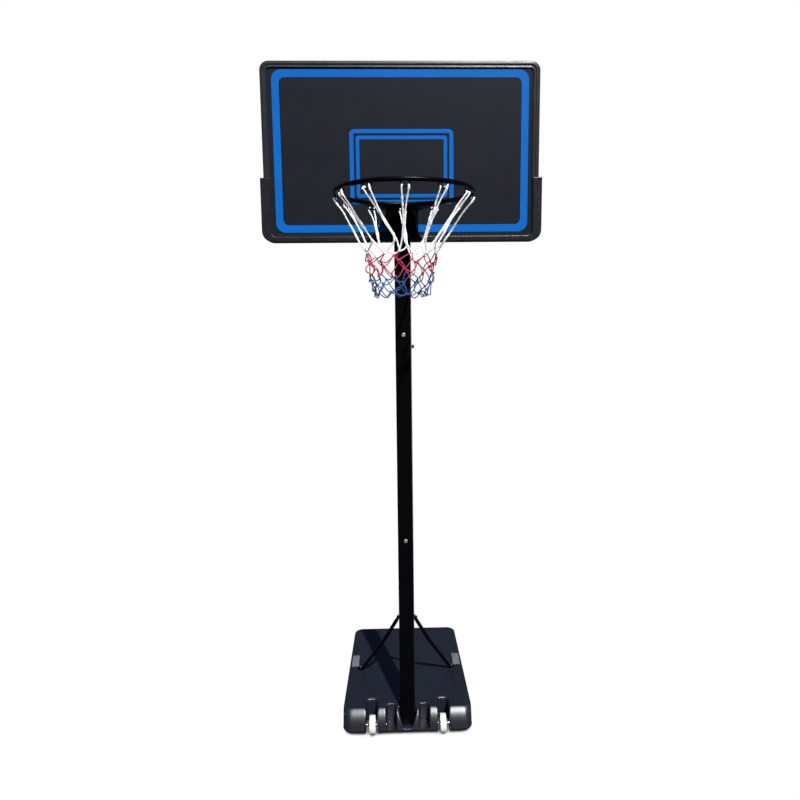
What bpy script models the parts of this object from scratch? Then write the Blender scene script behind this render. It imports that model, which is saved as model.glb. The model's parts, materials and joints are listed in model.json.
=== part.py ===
"""Portable basketball stand on a ballast tank, with a telescoping square pole, board, hoop and net.

Metres, +Z up. The origin is on the floor under the pole's axis, and the board faces -Y.
"""

import math

import bmesh
import bpy
from mathutils import Matrix, Vector

# Clearances
GAP = 0.0003  # between pieces that touch
HOLE_CLEARANCE = 0.0005  # between a shank and its hole, on the radius
POCKET_CLEARANCE = 0.0006  # between the pole's foot and its pocket, each side

# Steel pole: three tubes of one width, and a narrower one that slides
POLE_SIDE = 0.068
POLE_WALL = 0.0015
POLE_CORNER = 0.006
SLIDE_CLEARANCE = 0.0004  # between nested tubes, each side
POLE_FOOT_Z = 0.012
LOWER_JOINT_Z = 0.852
UPPER_JOINT_Z = 1.762
UPPER_POLE_LENGTH = 0.935
NECK_LENGTH = 0.085  # of the lower tube's drawn-in end, inside the middle tube
INNER_FOOT_CLEARANCE = 0.015  # between the neck and the sliding tube above it
INNER_GRIP = 0.13  # of the sliding tube inside the upper one
LOWER_BOLT_RISE = 0.048  # of a joint's bolt above the joint
UPPER_BOLT_RISE = 0.038
LOCK_SCREW_DROP = 0.013  # of the lock screw below the upper joint
CAP_FLANGE = 0.004
CAP_PLUG = 0.015

# Fasteners: one thread size for the frame, a smaller one for the feet
BOLT_RADIUS = 0.004
HEAD_ACROSS = 0.013
HEAD_HEIGHT = 0.0053
NUT_HEIGHT = 0.0065
BOLT_TAIL = 0.003  # of thread that stands out of a nut
WASHER_RADIUS = 0.0085
WASHER_THICKNESS = 0.0016
LOCK_NUT_HEIGHT = 0.0035
LOCK_WASHER_THICKNESS = 0.0012
FOOT_BOLT_RADIUS = 0.003
FOOT_BOLT_LENGTH = 0.016
FOOT_HEAD_ACROSS = 0.010
FOOT_HEAD_HEIGHT = 0.004

# Ballast tank
TANK_FRONT_Y = -0.066
TANK_BACK_Y = 0.700
TANK_FRONT_WIDTH = 0.592
TANK_BACK_WIDTH = 0.563
TANK_HEIGHT = 0.106
TANK_WALL = 0.005
TANK_FRONT_CORNER = 0.040
TANK_BACK_CORNER = 0.040
TANK_FRONT_ROUND = 0.036  # how far back the front's top edge rolls over
TANK_FRONT_RISE = 0.060  # and how far down the roll-over starts
TANK_EDGE_ROUND = 0.008  # of the other top edges
TANK_FOOT_ROUND = 0.012  # of the edge that stands on the floor
FRONT_WALL = 0.032  # solid front of the outer humps
CAVITY_FRONT_Y = 0.056
CAVITY_CORNER = 0.012
FILL_DEPTH = 0.080
CREASE_Y = 0.312
CREASE_LENGTH = 0.47
CREASE_DEPTH = 0.0018
CREASE_RADIUS = 0.004
SADDLE_FOOT_Z = 0.027
SADDLE_FOOT_WIDTH = 0.038
SADDLE_TOP_WIDTH = 0.094
FLUTE_X = 0.075
FLUTE_RADIUS = 0.0245
FLUTE_BACK_Y = 0.005
LIP_HEIGHT = 0.022
ANCHOR_Y = -0.018
ANCHOR_Z = 0.058
SPOT_FACE_RADIUS = 0.0095
SPOT_FACE_DEPTH = 0.0015

# Wheels
WELL_X = 0.1635
WELL_RADIUS = 0.026
WELL_BACK_Y = 0.045
WHEEL_X = 0.160
WHEEL_RADIUS = 0.040
WHEEL_WIDTH = 0.027
WHEEL_LIFT = 0.0005  # of the wheel above the floor
WHEEL_RIM = 0.008
WHEEL_WEB = 0.013
WHEEL_HUB_RADIUS = 0.012
WHEEL_EDGE = 0.003
AXLE_Y = -0.046
AXLE_RADIUS = 0.004
AXLE_BEARING = 0.0001  # running clearance in the wheel, on the radius
AXLE_SEAT = 0.020  # of the axle's blind end in the outer hump
AXLE_HEAD_RADIUS = 0.0065
AXLE_HEAD_HEIGHT = 0.0025

# Filler, on the deck behind the pole
FILLER_Y = 0.52
FILLER_BORE = 0.016
FILLER_NECK = 0.0205
FILLER_RISE = 0.008
FILLER_CAP_RADIUS = 0.027
FILLER_CAP_TOP = 0.0035
FILLER_GRIPS = 12
SEAL_THICKNESS = 0.002

# Blank plates on the deck
PAD_X = 0.258
PAD_Y = 0.365
PAD_WIDTH = 0.035
PAD_LENGTH = 0.102
PAD_THICKNESS = 0.001

# Braces: bent tube, flattened at both ends
BRACE_TOP_Z = 0.530
BRACE_FOOT_X = 0.231
BRACE_FOOT_Y = 0.298
BRACE_RADIUS = 0.0085
BRACE_FLAT = 0.005
BRACE_FLAT_WIDTH = 0.024
BRACE_END = 0.013  # of the flat end past its bolt
BRACE_NECK = 0.030  # over which the tube goes flat
BRACE_SAG = 0.020
BRACE_SAG_AT = 0.36
BOSS_RADIUS = 0.011

# Board
BOARD_WIDTH = 1.100
BOARD_HEIGHT = 0.684
BOARD_FOOT_Z = 2.184
BOARD_DEPTH = 0.040
BOARD_CORNER = 0.035
LIP_SIDE = 0.028
LIP_TOP = 0.024
LIP_FOOT = 0.026
LIP_CORNER = 0.014
LIP_ROUND = 0.004
PANEL_RECESS = 0.006
PANEL_THICKNESS = 0.005
PANEL_MARGIN = 0.008  # of the panel behind the lip
STRIPE_THICKNESS = 0.0006
BORDER_SIDE_MARGIN = 0.016  # between the lip and the blue border
BORDER_TOP_MARGIN = 0.0075
BORDER_FOOT_MARGIN = 0.006
BORDER_LINE = 0.029
BORDER_CORNER = 0.038
BORDER_INNER_CORNER = 0.023
TARGET_WIDTH = 0.413
TARGET_HEIGHT = 0.288
TARGET_FOOT_Z = 2.326
TARGET_LINE = 0.016
TARGET_INNER_LINE = 0.014
TARGET_SPACE = 0.009
TARGET_CORNER = 0.020
LINE_INNER_CORNER = 0.004  # of the target's lines, inside
GUARD_REACH = 0.013  # of the edge guard past the frame's sides
GUARD_DROP = 0.006  # and past its lower edge
GUARD_TOP_Z = 2.428
GUARD_FACE = 0.038
GUARD_FOOT_FACE = 0.022
GUARD_FRONT_LIP = 0.006  # thickness in front of the frame
GUARD_BACK_LIP = 0.0025  # and behind it
GUARD_CORNER = 0.044
GUARD_INNER_CORNER = 0.020
GUARD_ROUND = 0.0025

# Rails and brackets behind the board
RAIL_X = 0.048
RAIL_WIDTH = 0.025
RAIL_WALL = 0.0015
RAIL_CORNER = 0.003
BRACKET_WEB = 0.0025
BRACKET_EAR = 0.003
BRACKET_HEIGHT = 0.050
BRACKET_REACH = 0.020  # of the ears behind the pole's axis
LOWER_BRACKET_Z = 2.345
UPPER_BRACKET_Z = 2.620

# Hoop
RING_Z = 2.300
RING_INNER_RADIUS = 0.225
RING_ROD = 0.016
RING_OFFSET = 0.165  # between the panel and the ring's nearest inner edge
HOOK_COUNT = 12
HOOK_WIRE = 0.0045
HOOK_WIDTH = 0.032
HOOK_DROP = 0.013
PLATE_WIDTH = 0.128
PLATE_FOOT_Z = 2.203
PLATE_HEIGHT = 0.105
PLATE_THICKNESS = 0.004
PLATE_CORNER = 0.006
PLATE_BOLT_RISE = (0.020, 0.081)  # of the two rows above the plate's foot
WING_THICKNESS = 0.004
WING_HALF_ANGLE = 52
WING_ROOT_WIDTH = 0.126
WING_TIP = 0.005
GUSSET_THICKNESS = 0.0035
GUSSET_BOARD_X = 0.0600
GUSSET_RING_X = 0.032
GUSSET_TIP = 0.020

# Net: cord, narrowing below the hooks
NET_CORD = 0.0042
NET_DROPS = (0.0, 0.140, 0.180, 0.215, 0.250, 0.285, 0.320)  # of the rows of knots below the hooks
NET_SPREADS = (1.0, 0.65, 0.565, 0.52, 0.49, 0.468, 0.45)  # of the same rows, as shares of the ring

# Facets
ROUND_SIDES = 16
BOLT_SIDES = 12
WHEEL_STEPS = 32
CORNER_STEPS = 5

# Worked out from the sizes above
NECK_SIDE = POLE_SIDE - 2 * POLE_WALL - 2 * SLIDE_CLEARANCE
NECK_CORNER = POLE_CORNER - POLE_WALL - SLIDE_CLEARANCE
INNER_FOOT_Z = LOWER_JOINT_Z + NECK_LENGTH + INNER_FOOT_CLEARANCE
INNER_TOP_Z = UPPER_JOINT_Z + INNER_GRIP
POLE_TOP_Z = UPPER_JOINT_Z + GAP + UPPER_POLE_LENGTH
BOARD_TOP_Z = BOARD_FOOT_Z + BOARD_HEIGHT
BOARD_MID_Z = BOARD_FOOT_Z + BOARD_HEIGHT / 2
BRACKET_FRONT_Y = -(POLE_SIDE / 2 + GAP + BRACKET_WEB)
BOARD_BACK_Y = BRACKET_FRONT_Y - GAP
BOARD_FRONT_Y = BOARD_BACK_Y - BOARD_DEPTH
PANEL_FRONT_Y = BOARD_FRONT_Y + PANEL_RECESS
PANEL_BACK_Y = PANEL_FRONT_Y + PANEL_THICKNESS
STRIPE_BACK_Y = PANEL_FRONT_Y - GAP
STRIPE_FRONT_Y = STRIPE_BACK_Y - STRIPE_THICKNESS
OPENING_WIDTH = BOARD_WIDTH - 2 * LIP_SIDE
OPENING_HEIGHT = BOARD_HEIGHT - LIP_TOP - LIP_FOOT
OPENING_MID_Z = BOARD_FOOT_Z + LIP_FOOT + OPENING_HEIGHT / 2
REBATE_WIDTH = OPENING_WIDTH + 2 * PANEL_MARGIN
REBATE_HEIGHT = OPENING_HEIGHT + 2 * PANEL_MARGIN
PLATE_BACK_Y = STRIPE_FRONT_Y - GAP
PLATE_FRONT_Y = PLATE_BACK_Y - PLATE_THICKNESS
RING_RADIUS = RING_INNER_RADIUS + RING_ROD / 2
RING_OUTER_RADIUS = RING_INNER_RADIUS + RING_ROD
RING_Y = PANEL_FRONT_Y - RING_OFFSET - RING_INNER_RADIUS
RAIL_FRONT_Y = PANEL_BACK_Y + GAP
RAIL_DEPTH = BOARD_BACK_Y - RAIL_FRONT_Y
WHEEL_Z = WHEEL_RADIUS + WHEEL_LIFT
HOLE_RADIUS = BOLT_RADIUS + HOLE_CLEARANCE
FOOT_HOLE_RADIUS = FOOT_BOLT_RADIUS + HOLE_CLEARANCE
ANCHOR_SEAT = FLUTE_X - FLUTE_RADIUS - SPOT_FACE_DEPTH
PANEL_CORNER = LIP_CORNER + PANEL_MARGIN
WELL_MOUTH_Y = TANK_FRONT_Y - 0.05  # cutters run this far past the tank's front
TALL = TANK_HEIGHT + 0.05  # and this far past its deck

FACING_FRONT = (math.pi / 2, 0, 0)  # local Z to -Y, local Y to +Z
FACING_BACK = (-math.pi / 2, 0, 0)
FACING_RIGHT = (0, math.pi / 2, 0)
FACING_LEFT = (0, -math.pi / 2, 0)


def clear_scene():
    for thing in list(bpy.data.objects):
        bpy.data.objects.remove(thing)


def new_collection(name):
    collection = bpy.data.collections.new(name)
    bpy.context.scene.collection.children.link(collection)
    return collection


def material(name, colour, roughness, metallic=0.0):
    found = bpy.data.materials.get(name)
    if found:
        return found
    made = bpy.data.materials.new(name)
    made.use_nodes = True
    shader = made.node_tree.nodes["Principled BSDF"]
    shader.inputs["Base Color"].default_value = (*colour, 1)
    shader.inputs["Roughness"].default_value = roughness
    shader.inputs["Metallic"].default_value = metallic
    return made


def black_steel():
    return material("black_steel", (0.012, 0.012, 0.014), 0.38, 0.3)


def bright_steel():
    return material("bright_steel", (0.72, 0.73, 0.75), 0.3, 1.0)


def dark_steel():
    return material("dark_steel", (0.05, 0.05, 0.055), 0.4, 0.8)


def tank_plastic():
    return material("tank_plastic", (0.016, 0.022, 0.032), 0.42)


def black_plastic():
    return material("black_plastic", (0.015, 0.015, 0.017), 0.5)


def white_plastic():
    return material("white_plastic", (0.85, 0.85, 0.84), 0.45)


def grey_plate():
    return material("grey_plate", (0.5, 0.52, 0.54), 0.5)


def board_charcoal():
    return material("board_charcoal", (0.022, 0.024, 0.031), 0.35)


def line_blue():
    return material("line_blue", (0.01, 0.17, 0.68), 0.4)


def rubber():
    return material("rubber", (0.02, 0.02, 0.02), 0.7)


def water():
    return material("water", (0.35, 0.55, 0.65), 0.1)


def net_cord():
    return material("net_cord", (0.85, 0.85, 0.86), 0.8)


def arc(centre, radius, start, end, steps):
    """Points of a round stretch between two angles in degrees, ends included."""
    angles = [math.radians(start + (end - start) * k / steps) for k in range(steps + 1)]
    return [(centre[0] + radius * math.cos(a), centre[1] + radius * math.sin(a)) for a in angles]


def rounded_polygon(corners, steps=CORNER_STEPS):
    """Outline with a round at each corner, from corners (x, y, radius) in order."""
    points = []
    for index, (x, y, radius) in enumerate(corners):
        corner = Vector((x, y))
        before = (Vector(corners[index - 1][:2]) - corner).normalized()
        after = (Vector(corners[(index + 1) % len(corners)][:2]) - corner).normalized()
        half = before.angle(after) / 2
        centre = corner + (before + after).normalized() * (radius / math.sin(half))
        first = corner + before * (radius / math.tan(half)) - centre
        last = corner + after * (radius / math.tan(half)) - centre
        start = math.atan2(first.y, first.x)
        turn = (math.atan2(last.y, last.x) - start + math.pi) % (2 * math.pi) - math.pi
        points += arc(centre, radius, math.degrees(start), math.degrees(start + turn), steps)
    return points


def rounded_rectangle(width, height, radius, centre=(0, 0), steps=CORNER_STEPS):
    x, y = centre
    w, h = width / 2, height / 2
    corners = [(x - w, y - h, radius), (x + w, y - h, radius), (x + w, y + h, radius), (x - w, y + h, radius)]
    return rounded_polygon(corners, steps)


def u_outline(centre_x, radius, back_y):
    """Plan of a slot with a round back that opens through the tank's front."""
    back = arc((centre_x, back_y - radius), radius, 0, 180, 2 * CORNER_STEPS)
    return back + [(centre_x - radius, WELL_MOUTH_Y), (centre_x + radius, WELL_MOUTH_Y)]


def mesh_from(bm, name):
    bmesh.ops.recalc_face_normals(bm, faces=bm.faces)
    mesh = bpy.data.meshes.new(name)
    bm.to_mesh(mesh)
    bm.free()
    return mesh


def loft_mesh(name, rings, closed=False):
    """Skin over rings of as many points each; closed joins the last ring to the first, as round a bore."""
    bm = bmesh.new()
    rows = [[bm.verts.new(point) for point in ring] for ring in rings]
    pairs = list(zip(rows, rows[1:]))
    if closed:
        pairs.append((rows[-1], rows[0]))
    for low, high in pairs:
        for k in range(len(low)):
            n = (k + 1) % len(low)
            bm.faces.new((low[k], low[n], high[n], high[k]))
    if not closed:
        bm.faces.new(rows[0])
        bm.faces.new(rows[-1])
    return mesh_from(bm, name)


def prism_mesh(name, outline, thickness):
    """A flat shape in XY, its thickness centred on Z = 0."""
    return loft_mesh(name, [at_height(outline, -thickness / 2), at_height(outline, thickness / 2)])


def at_height(outline, z):
    return [(x, y, z) for x, y in outline]


def circle(radius, sides):
    return arc((0, 0), radius, 0, 360 - 360 / sides, sides - 1)


def hexagon(across, sides=BOLT_SIDES):
    """A hexagon with a point at each corner and each flat's middle."""
    step = 360 / sides
    radii = [across / 2 / math.cos(math.radians((k * step) % 60 - 30)) for k in range(sides)]
    turns = [math.radians(k * step) for k in range(sides)]
    return [(r * math.cos(a), r * math.sin(a)) for r, a in zip(radii, turns)]


def bolt_mesh(name, radius, length, across, height):
    """Hexagon bolt: the shank runs down from Z = 0, and the head stands on it."""
    shank = circle(radius, BOLT_SIDES)
    head = hexagon(across)
    crown = circle(across / 2 * 0.92, BOLT_SIDES)
    rings = [at_height(shank, -length), at_height(shank, 0), at_height(head, 0)]
    rings += [at_height(head, height * 0.85), at_height(crown, height)]
    return loft_mesh(name, rings)


def ring_mesh(name, outer, inner, thickness):
    """A washer or a nut on Z = 0: the outlines have as many points each."""
    rings = [at_height(outer, 0), at_height(outer, thickness)]
    rings += [at_height(inner, thickness), at_height(inner, 0)]
    return loft_mesh(name, rings, closed=True)


def rod_mesh(name, radius, length, sides=ROUND_SIDES):
    bm = bmesh.new()
    bmesh.ops.create_cone(bm, cap_ends=True, segments=sides, radius1=radius, radius2=radius, depth=length)
    return mesh_from(bm, name)


def place(name, mesh, look, location=(0, 0, 0), turn=(0, 0, 0), parent=None, smooth=True):
    """Makes a piece: location is in the world, whatever the parent."""
    piece = bpy.data.objects.new(name, mesh)
    parts.objects.link(piece)
    mesh.materials.append(look)
    if smooth and mesh.polygons:
        mesh.shade_smooth()
        mesh.set_sharp_from_angle(angle=math.radians(35))
    offset = parent.location if parent else Vector()
    piece.parent = parent
    piece.location = Vector(location) - offset
    piece.rotation_euler = turn
    return piece


def empty(name, location):
    marker = bpy.data.objects.new(name, None)
    marker.location = location
    parts.objects.link(marker)
    return marker


def cutter(name, mesh, location=(0, 0, 0), turn=(0, 0, 0)):
    tool = bpy.data.objects.new(name, mesh)
    cutters.objects.link(tool)
    tool.location = location
    tool.rotation_euler = turn
    tool.hide_render = True
    tool.display_type = "WIRE"
    return tool


def combine(piece, tool, operation="DIFFERENCE"):
    boolean = piece.modifiers.new(tool.name, "BOOLEAN")
    boolean.operation = operation
    boolean.solver = "EXACT"
    boolean.object = tool


def drill(pieces, name, location, turn, depth, radius=HOLE_RADIUS):
    """One hole through all the pieces that a shank passes."""
    tool = cutter(name, rod_mesh(name, radius, depth, BOLT_SIDES), location, turn)
    for piece in pieces:
        combine(piece, tool)


def tank_ring(z):
    """Plan of the tank at a height: the front rolls back further than the sides and the back."""
    def inset(depth, rise):
        share = max(0.0, z - (TANK_HEIGHT - rise)) / rise
        return depth - depth * math.sqrt(max(0.0, 1 - share**2))

    low = max(0.0, TANK_FOOT_ROUND - z)
    foot = TANK_FOOT_ROUND - math.sqrt(TANK_FOOT_ROUND**2 - low**2)
    front = inset(TANK_FRONT_ROUND, TANK_FRONT_RISE) + foot
    edge = inset(TANK_EDGE_ROUND, TANK_EDGE_ROUND) + foot
    w, v = TANK_FRONT_WIDTH / 2 - edge, TANK_BACK_WIDTH / 2 - edge
    corners = [(-w, TANK_FRONT_Y + front, TANK_FRONT_CORNER), (w, TANK_FRONT_Y + front, TANK_FRONT_CORNER)]
    corners += [(v, TANK_BACK_Y - edge, TANK_BACK_CORNER), (-v, TANK_BACK_Y - edge, TANK_BACK_CORNER)]
    return at_height(rounded_polygon(corners), z)


def cavity_outline(inset):
    """Plan of the hollow, which reaches into the two outer humps."""
    side = (TANK_FRONT_WIDTH - TANK_BACK_WIDTH) / 2
    w, v = TANK_FRONT_WIDTH / 2 - inset, TANK_BACK_WIDTH / 2 - inset
    front = TANK_FRONT_Y + FRONT_WALL - TANK_WALL + inset
    back = TANK_BACK_Y - inset
    shoulder = CAVITY_FRONT_Y - TANK_WALL + inset
    slope = side / (TANK_BACK_Y - TANK_FRONT_Y)
    arm = w - slope * (front - TANK_FRONT_Y)
    inner = WELL_X + WELL_RADIUS + inset
    r = CAVITY_CORNER
    right = [(inner, shoulder, r / 2), (inner, front, r), (arm, front, r), (v, back, 3 * r)]
    left = [(-x, y, radius) for x, y, radius in reversed(right)]
    return rounded_polygon(right + left, 3)


def make_tank():
    rise = [TANK_FRONT_RISE * (math.sin(math.radians(a)) - 1) for a in (0, 20, 38, 52)]
    rise += [TANK_EDGE_ROUND * (math.sin(math.radians(a)) - 1) for a in (0, 35, 63, 90)]
    foot = [TANK_FOOT_ROUND * (1 - math.cos(math.radians(a))) for a in (0, 40, 65, 90)]
    heights = foot + [TANK_HEIGHT + r for r in rise]
    tank = place("base_tank", loft_mesh("base_tank", [tank_ring(z) for z in heights]), tank_plastic())
    for side, label in ((-1, "left"), (1, "right")):
        well = prism_mesh("well", u_outline(side * WELL_X, WELL_RADIUS, WELL_BACK_Y), 2 * TALL)
        combine(tank, cutter(f"{label}_well", well))
        flute = prism_mesh("flute", u_outline(side * FLUTE_X, FLUTE_RADIUS, FLUTE_BACK_Y), TALL)
        combine(tank, cutter(f"{label}_flute", flute, (0, 0, LIP_HEIGHT + TALL / 2)))
    pocket_side = POLE_SIDE + 2 * POCKET_CLEARANCE
    pocket = prism_mesh("pocket", rounded_rectangle(pocket_side, pocket_side, POLE_CORNER, steps=3), TALL)
    combine(tank, cutter("pole_pocket", pocket, (0, 0, POLE_FOOT_Z - GAP + TALL / 2)))
    combine(tank, saddle_cutter())
    cavity_height = TANK_HEIGHT - 2 * TANK_WALL
    cavity = prism_mesh("cavity", cavity_outline(TANK_WALL), cavity_height)
    combine(tank, cutter("cavity", cavity, (0, 0, TANK_HEIGHT / 2)))
    crease = rod_mesh("crease", CREASE_RADIUS, CREASE_LENGTH, 8)
    crease_z = TANK_HEIGHT + CREASE_RADIUS - CREASE_DEPTH
    combine(tank, cutter("crease", crease, (0, CREASE_Y, crease_z), FACING_RIGHT))
    add_bosses(tank)
    add_filler_neck(tank)
    for side, label in ((-1, "left"), (1, "right")):
        outer = WELL_X + WELL_RADIUS + AXLE_SEAT + GAP
        inner = FLUTE_X + FLUTE_RADIUS / 2
        middle = (side * (outer + inner) / 2, AXLE_Y, WHEEL_Z)
        drill([tank], f"{label}_axle_hole", middle, FACING_RIGHT, outer - inner)
        face = rod_mesh("spot_face", SPOT_FACE_RADIUS, FLUTE_RADIUS)
        spot = (side * (ANCHOR_SEAT + FLUTE_RADIUS / 2), ANCHOR_Y, ANCHOR_Z)
        combine(tank, cutter(f"{label}_spot_face", face, spot, FACING_RIGHT))
    return tank


def saddle_cutter():
    """The tapering opening in the wall in front of the pole's foot."""
    low, high = SADDLE_FOOT_WIDTH / 2, SADDLE_TOP_WIDTH / 2
    slope = (high - low) / (TANK_HEIGHT - SADDLE_FOOT_Z)
    top = TALL
    wide = high + slope * (top - TANK_HEIGHT)
    foot = [(-low, SADDLE_FOOT_Z, 0.008), (low, SADDLE_FOOT_Z, 0.008)]
    outline = rounded_polygon(foot + [(wide, top, 0.001), (-wide, top, 0.001)])
    depth = -POLE_SIDE / 4 - WELL_MOUTH_Y
    mesh = prism_mesh("saddle", outline, depth)
    return cutter("saddle", mesh, (0, WELL_MOUTH_Y + depth / 2, 0), FACING_FRONT)


def add_bosses(tank):
    """Solid bosses under the deck for the braces' foot bolts, with their holes."""
    height = FOOT_BOLT_LENGTH - BRACE_FLAT + TANK_WALL / 2
    for side, label in ((-1, "left"), (1, "right")):
        spot = (side * BRACE_FOOT_X, BRACE_FOOT_Y)
        boss = rod_mesh("boss", BOSS_RADIUS, height)
        middle = (*spot, TANK_HEIGHT - TANK_WALL / 2 - height / 2)
        combine(tank, cutter(f"{label}_boss", boss, middle), "UNION")
        depth = 2 * (FOOT_BOLT_LENGTH - BRACE_FLAT + GAP)
        drill([tank], f"{label}_foot_hole", (*spot, TANK_HEIGHT), (0, 0, 0), depth, FOOT_HOLE_RADIUS)


def add_filler_neck(tank):
    top = TANK_HEIGHT + FILLER_RISE
    foot = TANK_HEIGHT - TANK_WALL / 2
    neck = rod_mesh("filler_neck", FILLER_NECK, top - foot, 24)
    combine(tank, cutter("filler_neck", neck, (0, FILLER_Y, (top + foot) / 2)), "UNION")
    bore = rod_mesh("filler_bore", FILLER_BORE, 4 * FILLER_RISE, 24)
    combine(tank, cutter("filler_bore", bore, (0, FILLER_Y, TANK_HEIGHT)))


def make_fill():
    height = FILL_DEPTH - GAP
    fill = prism_mesh("water_fill", cavity_outline(TANK_WALL + GAP), height)
    place("water_fill", fill, water(), (0, 0, TANK_WALL + GAP + height / 2))


def make_filler():
    neck_top = TANK_HEIGHT + FILLER_RISE
    seal_z = neck_top + GAP
    rise = empty("filler_lift", (0, FILLER_Y, neck_top))
    outer, inner = circle(FILLER_NECK - GAP, 24), circle(FILLER_BORE, 24)
    seal = ring_mesh("filler_seal", outer, inner, SEAL_THICKNESS)
    place("filler_seal", seal, rubber(), (0, FILLER_Y, seal_z), parent=rise)
    skirt = FILLER_NECK + HOLE_CLEARANCE
    ceiling = seal_z + SEAL_THICKNESS + GAP
    foot = TANK_HEIGHT + 2 * HOLE_CLEARANCE
    grips = [FILLER_CAP_RADIUS - 0.0012 * (k % 2) for k in range(2 * FILLER_GRIPS)]
    step = math.pi / FILLER_GRIPS
    knurl = [(r * math.cos(k * step), r * math.sin(k * step)) for k, r in enumerate(grips)]
    crown = circle(FILLER_CAP_RADIUS * 0.88, 2 * FILLER_GRIPS)
    hollow = circle(skirt, 2 * FILLER_GRIPS)
    top = ceiling + FILLER_CAP_TOP
    rings = [at_height(hollow, ceiling), at_height(hollow, foot), at_height(knurl, foot)]
    rings += [at_height(knurl, top - 0.0015), at_height(crown, top)]
    local = [[(x, y, z - neck_top) for x, y, z in ring] for ring in rings]
    place("filler_cap", loft_mesh("filler_cap", local), black_plastic(), (0, FILLER_Y, neck_top), parent=rise)


def make_wheels():
    for side, label in ((-1, "left"), (1, "right")):
        hub = (side * WHEEL_X, AXLE_Y, WHEEL_Z)
        wheel = place(f"{label}_wheel", wheel_mesh(), white_plastic(), hub, FACING_RIGHT)
        screw = wheel.modifiers.new("turn", "SCREW")
        screw.steps = screw.render_steps = WHEEL_STEPS
        screw.use_merge_vertices = True
        screw.merge_threshold = 0.00001
        blind = WELL_X + WELL_RADIUS + AXLE_SEAT
        shank = circle(AXLE_RADIUS, BOLT_SIDES)
        head = circle(AXLE_HEAD_RADIUS, BOLT_SIDES)
        face = FLUTE_X + FLUTE_RADIUS - GAP
        rings = [at_height(shank, blind), at_height(shank, face), at_height(head, face)]
        rings += [at_height(head, face - AXLE_HEAD_HEIGHT)]
        local = [[(x, y, side * z) for x, y, z in ring] for ring in rings]
        centre = (0, AXLE_Y, WHEEL_Z)
        place(f"{label}_wheel_axle", loft_mesh("axle", local), bright_steel(), centre, FACING_RIGHT)


def wheel_mesh():
    """Half section of a wheel, down its outer side, closed round the bore."""
    half = WHEEL_WIDTH / 2
    web = WHEEL_WEB / 2
    bore = AXLE_RADIUS + AXLE_BEARING
    rim = WHEEL_RADIUS - WHEEL_RIM
    section = [(WHEEL_RADIUS - WHEEL_EDGE, half), (WHEEL_RADIUS, half - WHEEL_EDGE)]
    section += [(WHEEL_RADIUS, WHEEL_EDGE - half), (WHEEL_RADIUS - WHEEL_EDGE, -half)]
    section += [(rim, -half), (rim - 0.002, -web), (WHEEL_HUB_RADIUS, -web)]
    section += [(WHEEL_HUB_RADIUS, -half), (bore, -half), (bore, half), (WHEEL_HUB_RADIUS, half)]
    section += [(WHEEL_HUB_RADIUS, web), (rim - 0.002, web), (rim, half)]
    bm = bmesh.new()
    verts = [bm.verts.new((x, 0, z)) for x, z in section]
    for k, vert in enumerate(verts):
        bm.edges.new((vert, verts[(k + 1) % len(verts)]))
    mesh = bpy.data.meshes.new("wheel")
    bm.to_mesh(mesh)
    bm.free()
    return mesh


def square_rings(side, corner, *heights):
    return [at_height(rounded_rectangle(side, side, corner, steps=3), z) for z in heights]


def tube_mesh(name, side, corner, foot, top):
    inner = side - 2 * POLE_WALL
    rings = square_rings(side, corner, foot, top) + square_rings(inner, corner - POLE_WALL, top, foot)
    return loft_mesh(name, rings, closed=True)


def make_poles(carriage):
    inner = POLE_SIDE - 2 * POLE_WALL
    neck_inner = NECK_SIDE - 2 * POLE_WALL
    shoulder, neck_top = LOWER_JOINT_Z, LOWER_JOINT_Z + NECK_LENGTH
    rings = square_rings(POLE_SIDE, POLE_CORNER, POLE_FOOT_Z, shoulder)
    rings += square_rings(NECK_SIDE, NECK_CORNER, shoulder, neck_top)
    rings += square_rings(neck_inner, NECK_CORNER - POLE_WALL, neck_top, shoulder - POLE_WALL)
    rings += square_rings(inner, POLE_CORNER - POLE_WALL, shoulder - POLE_WALL, POLE_FOOT_Z)
    lower = place("lower_pole", loft_mesh("lower_pole", rings, closed=True), black_steel())
    middle_mesh = tube_mesh("middle_pole", POLE_SIDE, POLE_CORNER, LOWER_JOINT_Z + GAP, UPPER_JOINT_Z)
    middle = place("middle_pole", middle_mesh, black_steel())
    start = carriage.location.z
    ends = (INNER_FOOT_Z - start, INNER_TOP_Z - start)
    sliding_mesh = tube_mesh("inner_pole", NECK_SIDE, NECK_CORNER, *ends)
    sliding = place("inner_pole", sliding_mesh, dark_steel(), carriage.location, parent=carriage)
    upper_mesh = tube_mesh("upper_pole", POLE_SIDE, POLE_CORNER, UPPER_JOINT_Z + GAP - start, POLE_TOP_Z - start)
    upper = place("upper_pole", upper_mesh, black_steel(), carriage.location, parent=carriage)
    return lower, middle, sliding, upper


def make_pole_cap(carriage):
    inner = POLE_SIDE - 2 * POLE_WALL - 2 * GAP
    corner = POLE_CORNER - POLE_WALL - GAP
    rings = square_rings(inner, corner, -CAP_PLUG, GAP)
    rings += square_rings(POLE_SIDE, POLE_CORNER, GAP, CAP_FLANGE)
    rings += square_rings(POLE_SIDE - CAP_FLANGE, POLE_CORNER - CAP_FLANGE / 2, CAP_FLANGE * 1.5)
    place("pole_cap", loft_mesh("pole_cap", rings), black_plastic(), (0, 0, POLE_TOP_Z), parent=carriage)


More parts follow.
